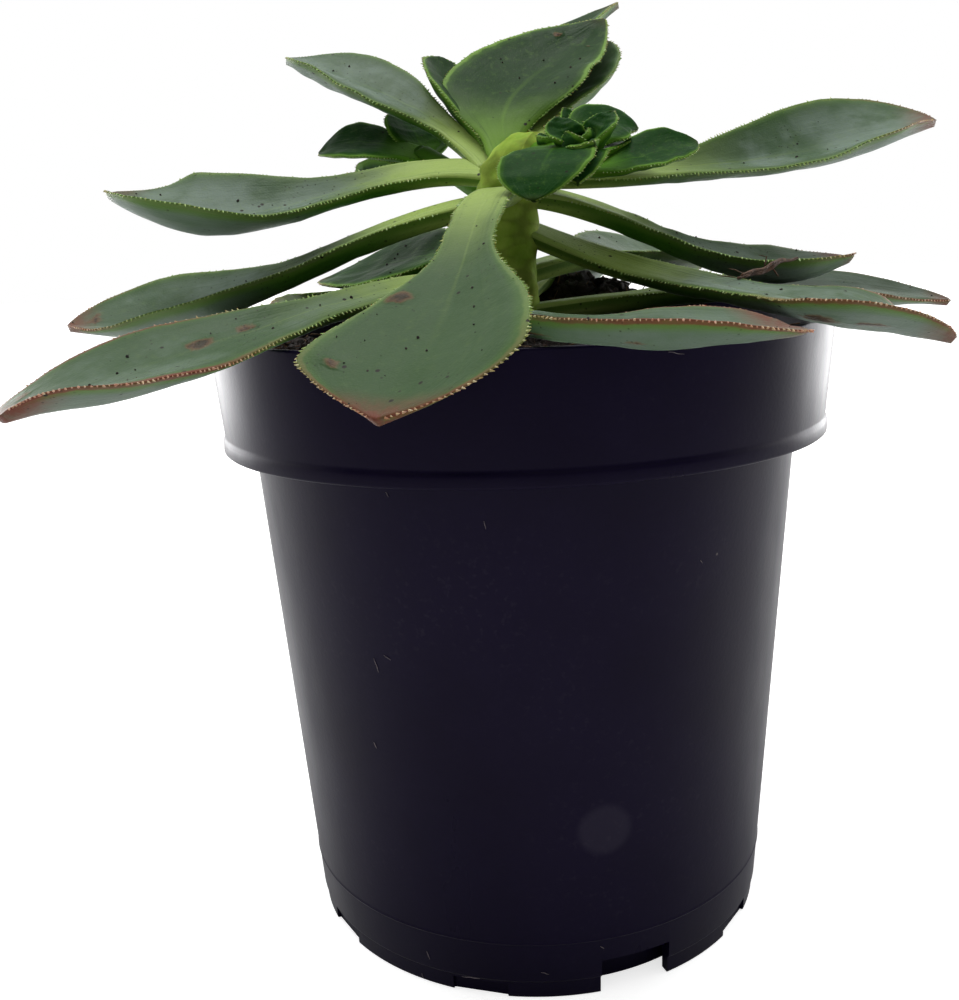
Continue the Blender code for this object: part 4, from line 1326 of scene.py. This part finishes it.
def peat_lump(at, size, seed):
    """A ball pushed in and out by noise, a little flattened."""
    bm = bmesh.new()
    bmesh.ops.create_icosphere(bm, subdivisions=2, radius=size)
    points = []
    for vert in bm.verts:
        push = 1 + 0.9 * noise.noise(vert.co * 1.1 + Vector((seed, 0, 0)))
        points.append(at + Vector((vert.co.x, vert.co.y, vert.co.z * 0.75)) * push)
    faces = [[vert.index for vert in face.verts] for face in bm.faces]
    bm.free()
    return points, faces, []


def heap_spot(draw):
    """A lump's place and size: anywhere between the ground and the heap's height there."""
    turn, out = draw.uniform(0, 2 * math.pi), math.sqrt(draw.random())
    x = HEAP_AT[0] + HEAP_REACH[0] * out * math.cos(turn)
    y = HEAP_AT[1] + HEAP_REACH[1] * out * math.sin(turn)
    height = HEAP_TOP * (1 - smoothstep(0.55, 1.0, out))
    return Vector((x, y, soil_height(x, y) + height * draw.random())), draw.uniform(*LUMP_SIZES)


def carried(spot, size, laid):
    """Does a lump here reach into the ground, or into one that is laid?"""
    if spot.z - 0.5 * size < soil_height(spot.x, spot.y):
        return True
    return any((spot - other).length < 0.55 * (size + reach) for other, reach in laid)


draw = random.Random(31)
laid, lump_skins, straw_skins = [], [], []
for spot, size in sorted((heap_spot(draw) for _ in range(HEAP_LUMPS)), key=lambda lump: lump[0].z):
    if not carried(spot, size, laid):
        continue
    laid.append((spot, size))
    k = len(laid)
    lump_skins.append(peat_lump(spot, size, 3.0 * k))
    if k % LUMPS_PER_STRAW == 0:
        lean = Vector((draw.uniform(-1, 1), draw.uniform(-1, 1), draw.uniform(0.1, 1.0))).normalized()
        end = spot + lean * draw.uniform(*STRAW_LENGTHS)
        straw_skins.append(thread((spot, end), STRAW_R, 6, 50.0 + k))
finish_piece(mesh_piece("soil_heap", lump_skins, PEAT, noted=False), "potting_soil")
finish_piece(mesh_piece("soil_straw", straw_skins, FIBRE, noted=False), "potting_soil")
print("heap:", len(laid), "of", HEAP_LUMPS, "lumps are carried;", len(straw_skins), "straws")

# %% Crumbs on the leaves
blades = [bpy.data.objects[leaf.name + "_skin"] for leaf in LEAVES]
tops = ground_of(blades, lambda face: face.normal.z >= 0.35)
strew("leaf_crumbs", tops, crumb_shape, ANY_WAY, 20000.0, 0.00014, 0.0008, 0.0003, 5, PEAT)

# %% [markdown]
# ## The floor
# A wide pale disc, which isn't attached to the plant's body. It glows a little, as a lit
# white sweep does, so the pot's shadow on it stays faint.

# %% Floor
FLOOR_R, FLOOR_SIDES, FLOOR_GLOW = 4.0, 96, 0.70


def floor_material():
    w = Wiring("floor")
    return w.shade({
        "Base Color": w.coats((226, 226, 226), (w.ramp(w.noise(3.0), 0.3, 0.7), (232, 232, 232))),
        "Roughness": 0.9,
        "Emission Color": WHITE,
        "Emission Strength": w.times(w.node("LightPath", "Is Camera Ray"), FLOOR_GLOW),
    })


bm = bmesh.new()
bmesh.ops.create_circle(bm, cap_ends=True, segments=FLOOR_SIDES, radius=FLOOR_R)
floor = link_bmesh("floor", bm)
floor.data.materials.append(floor_material())
print("floor laid")
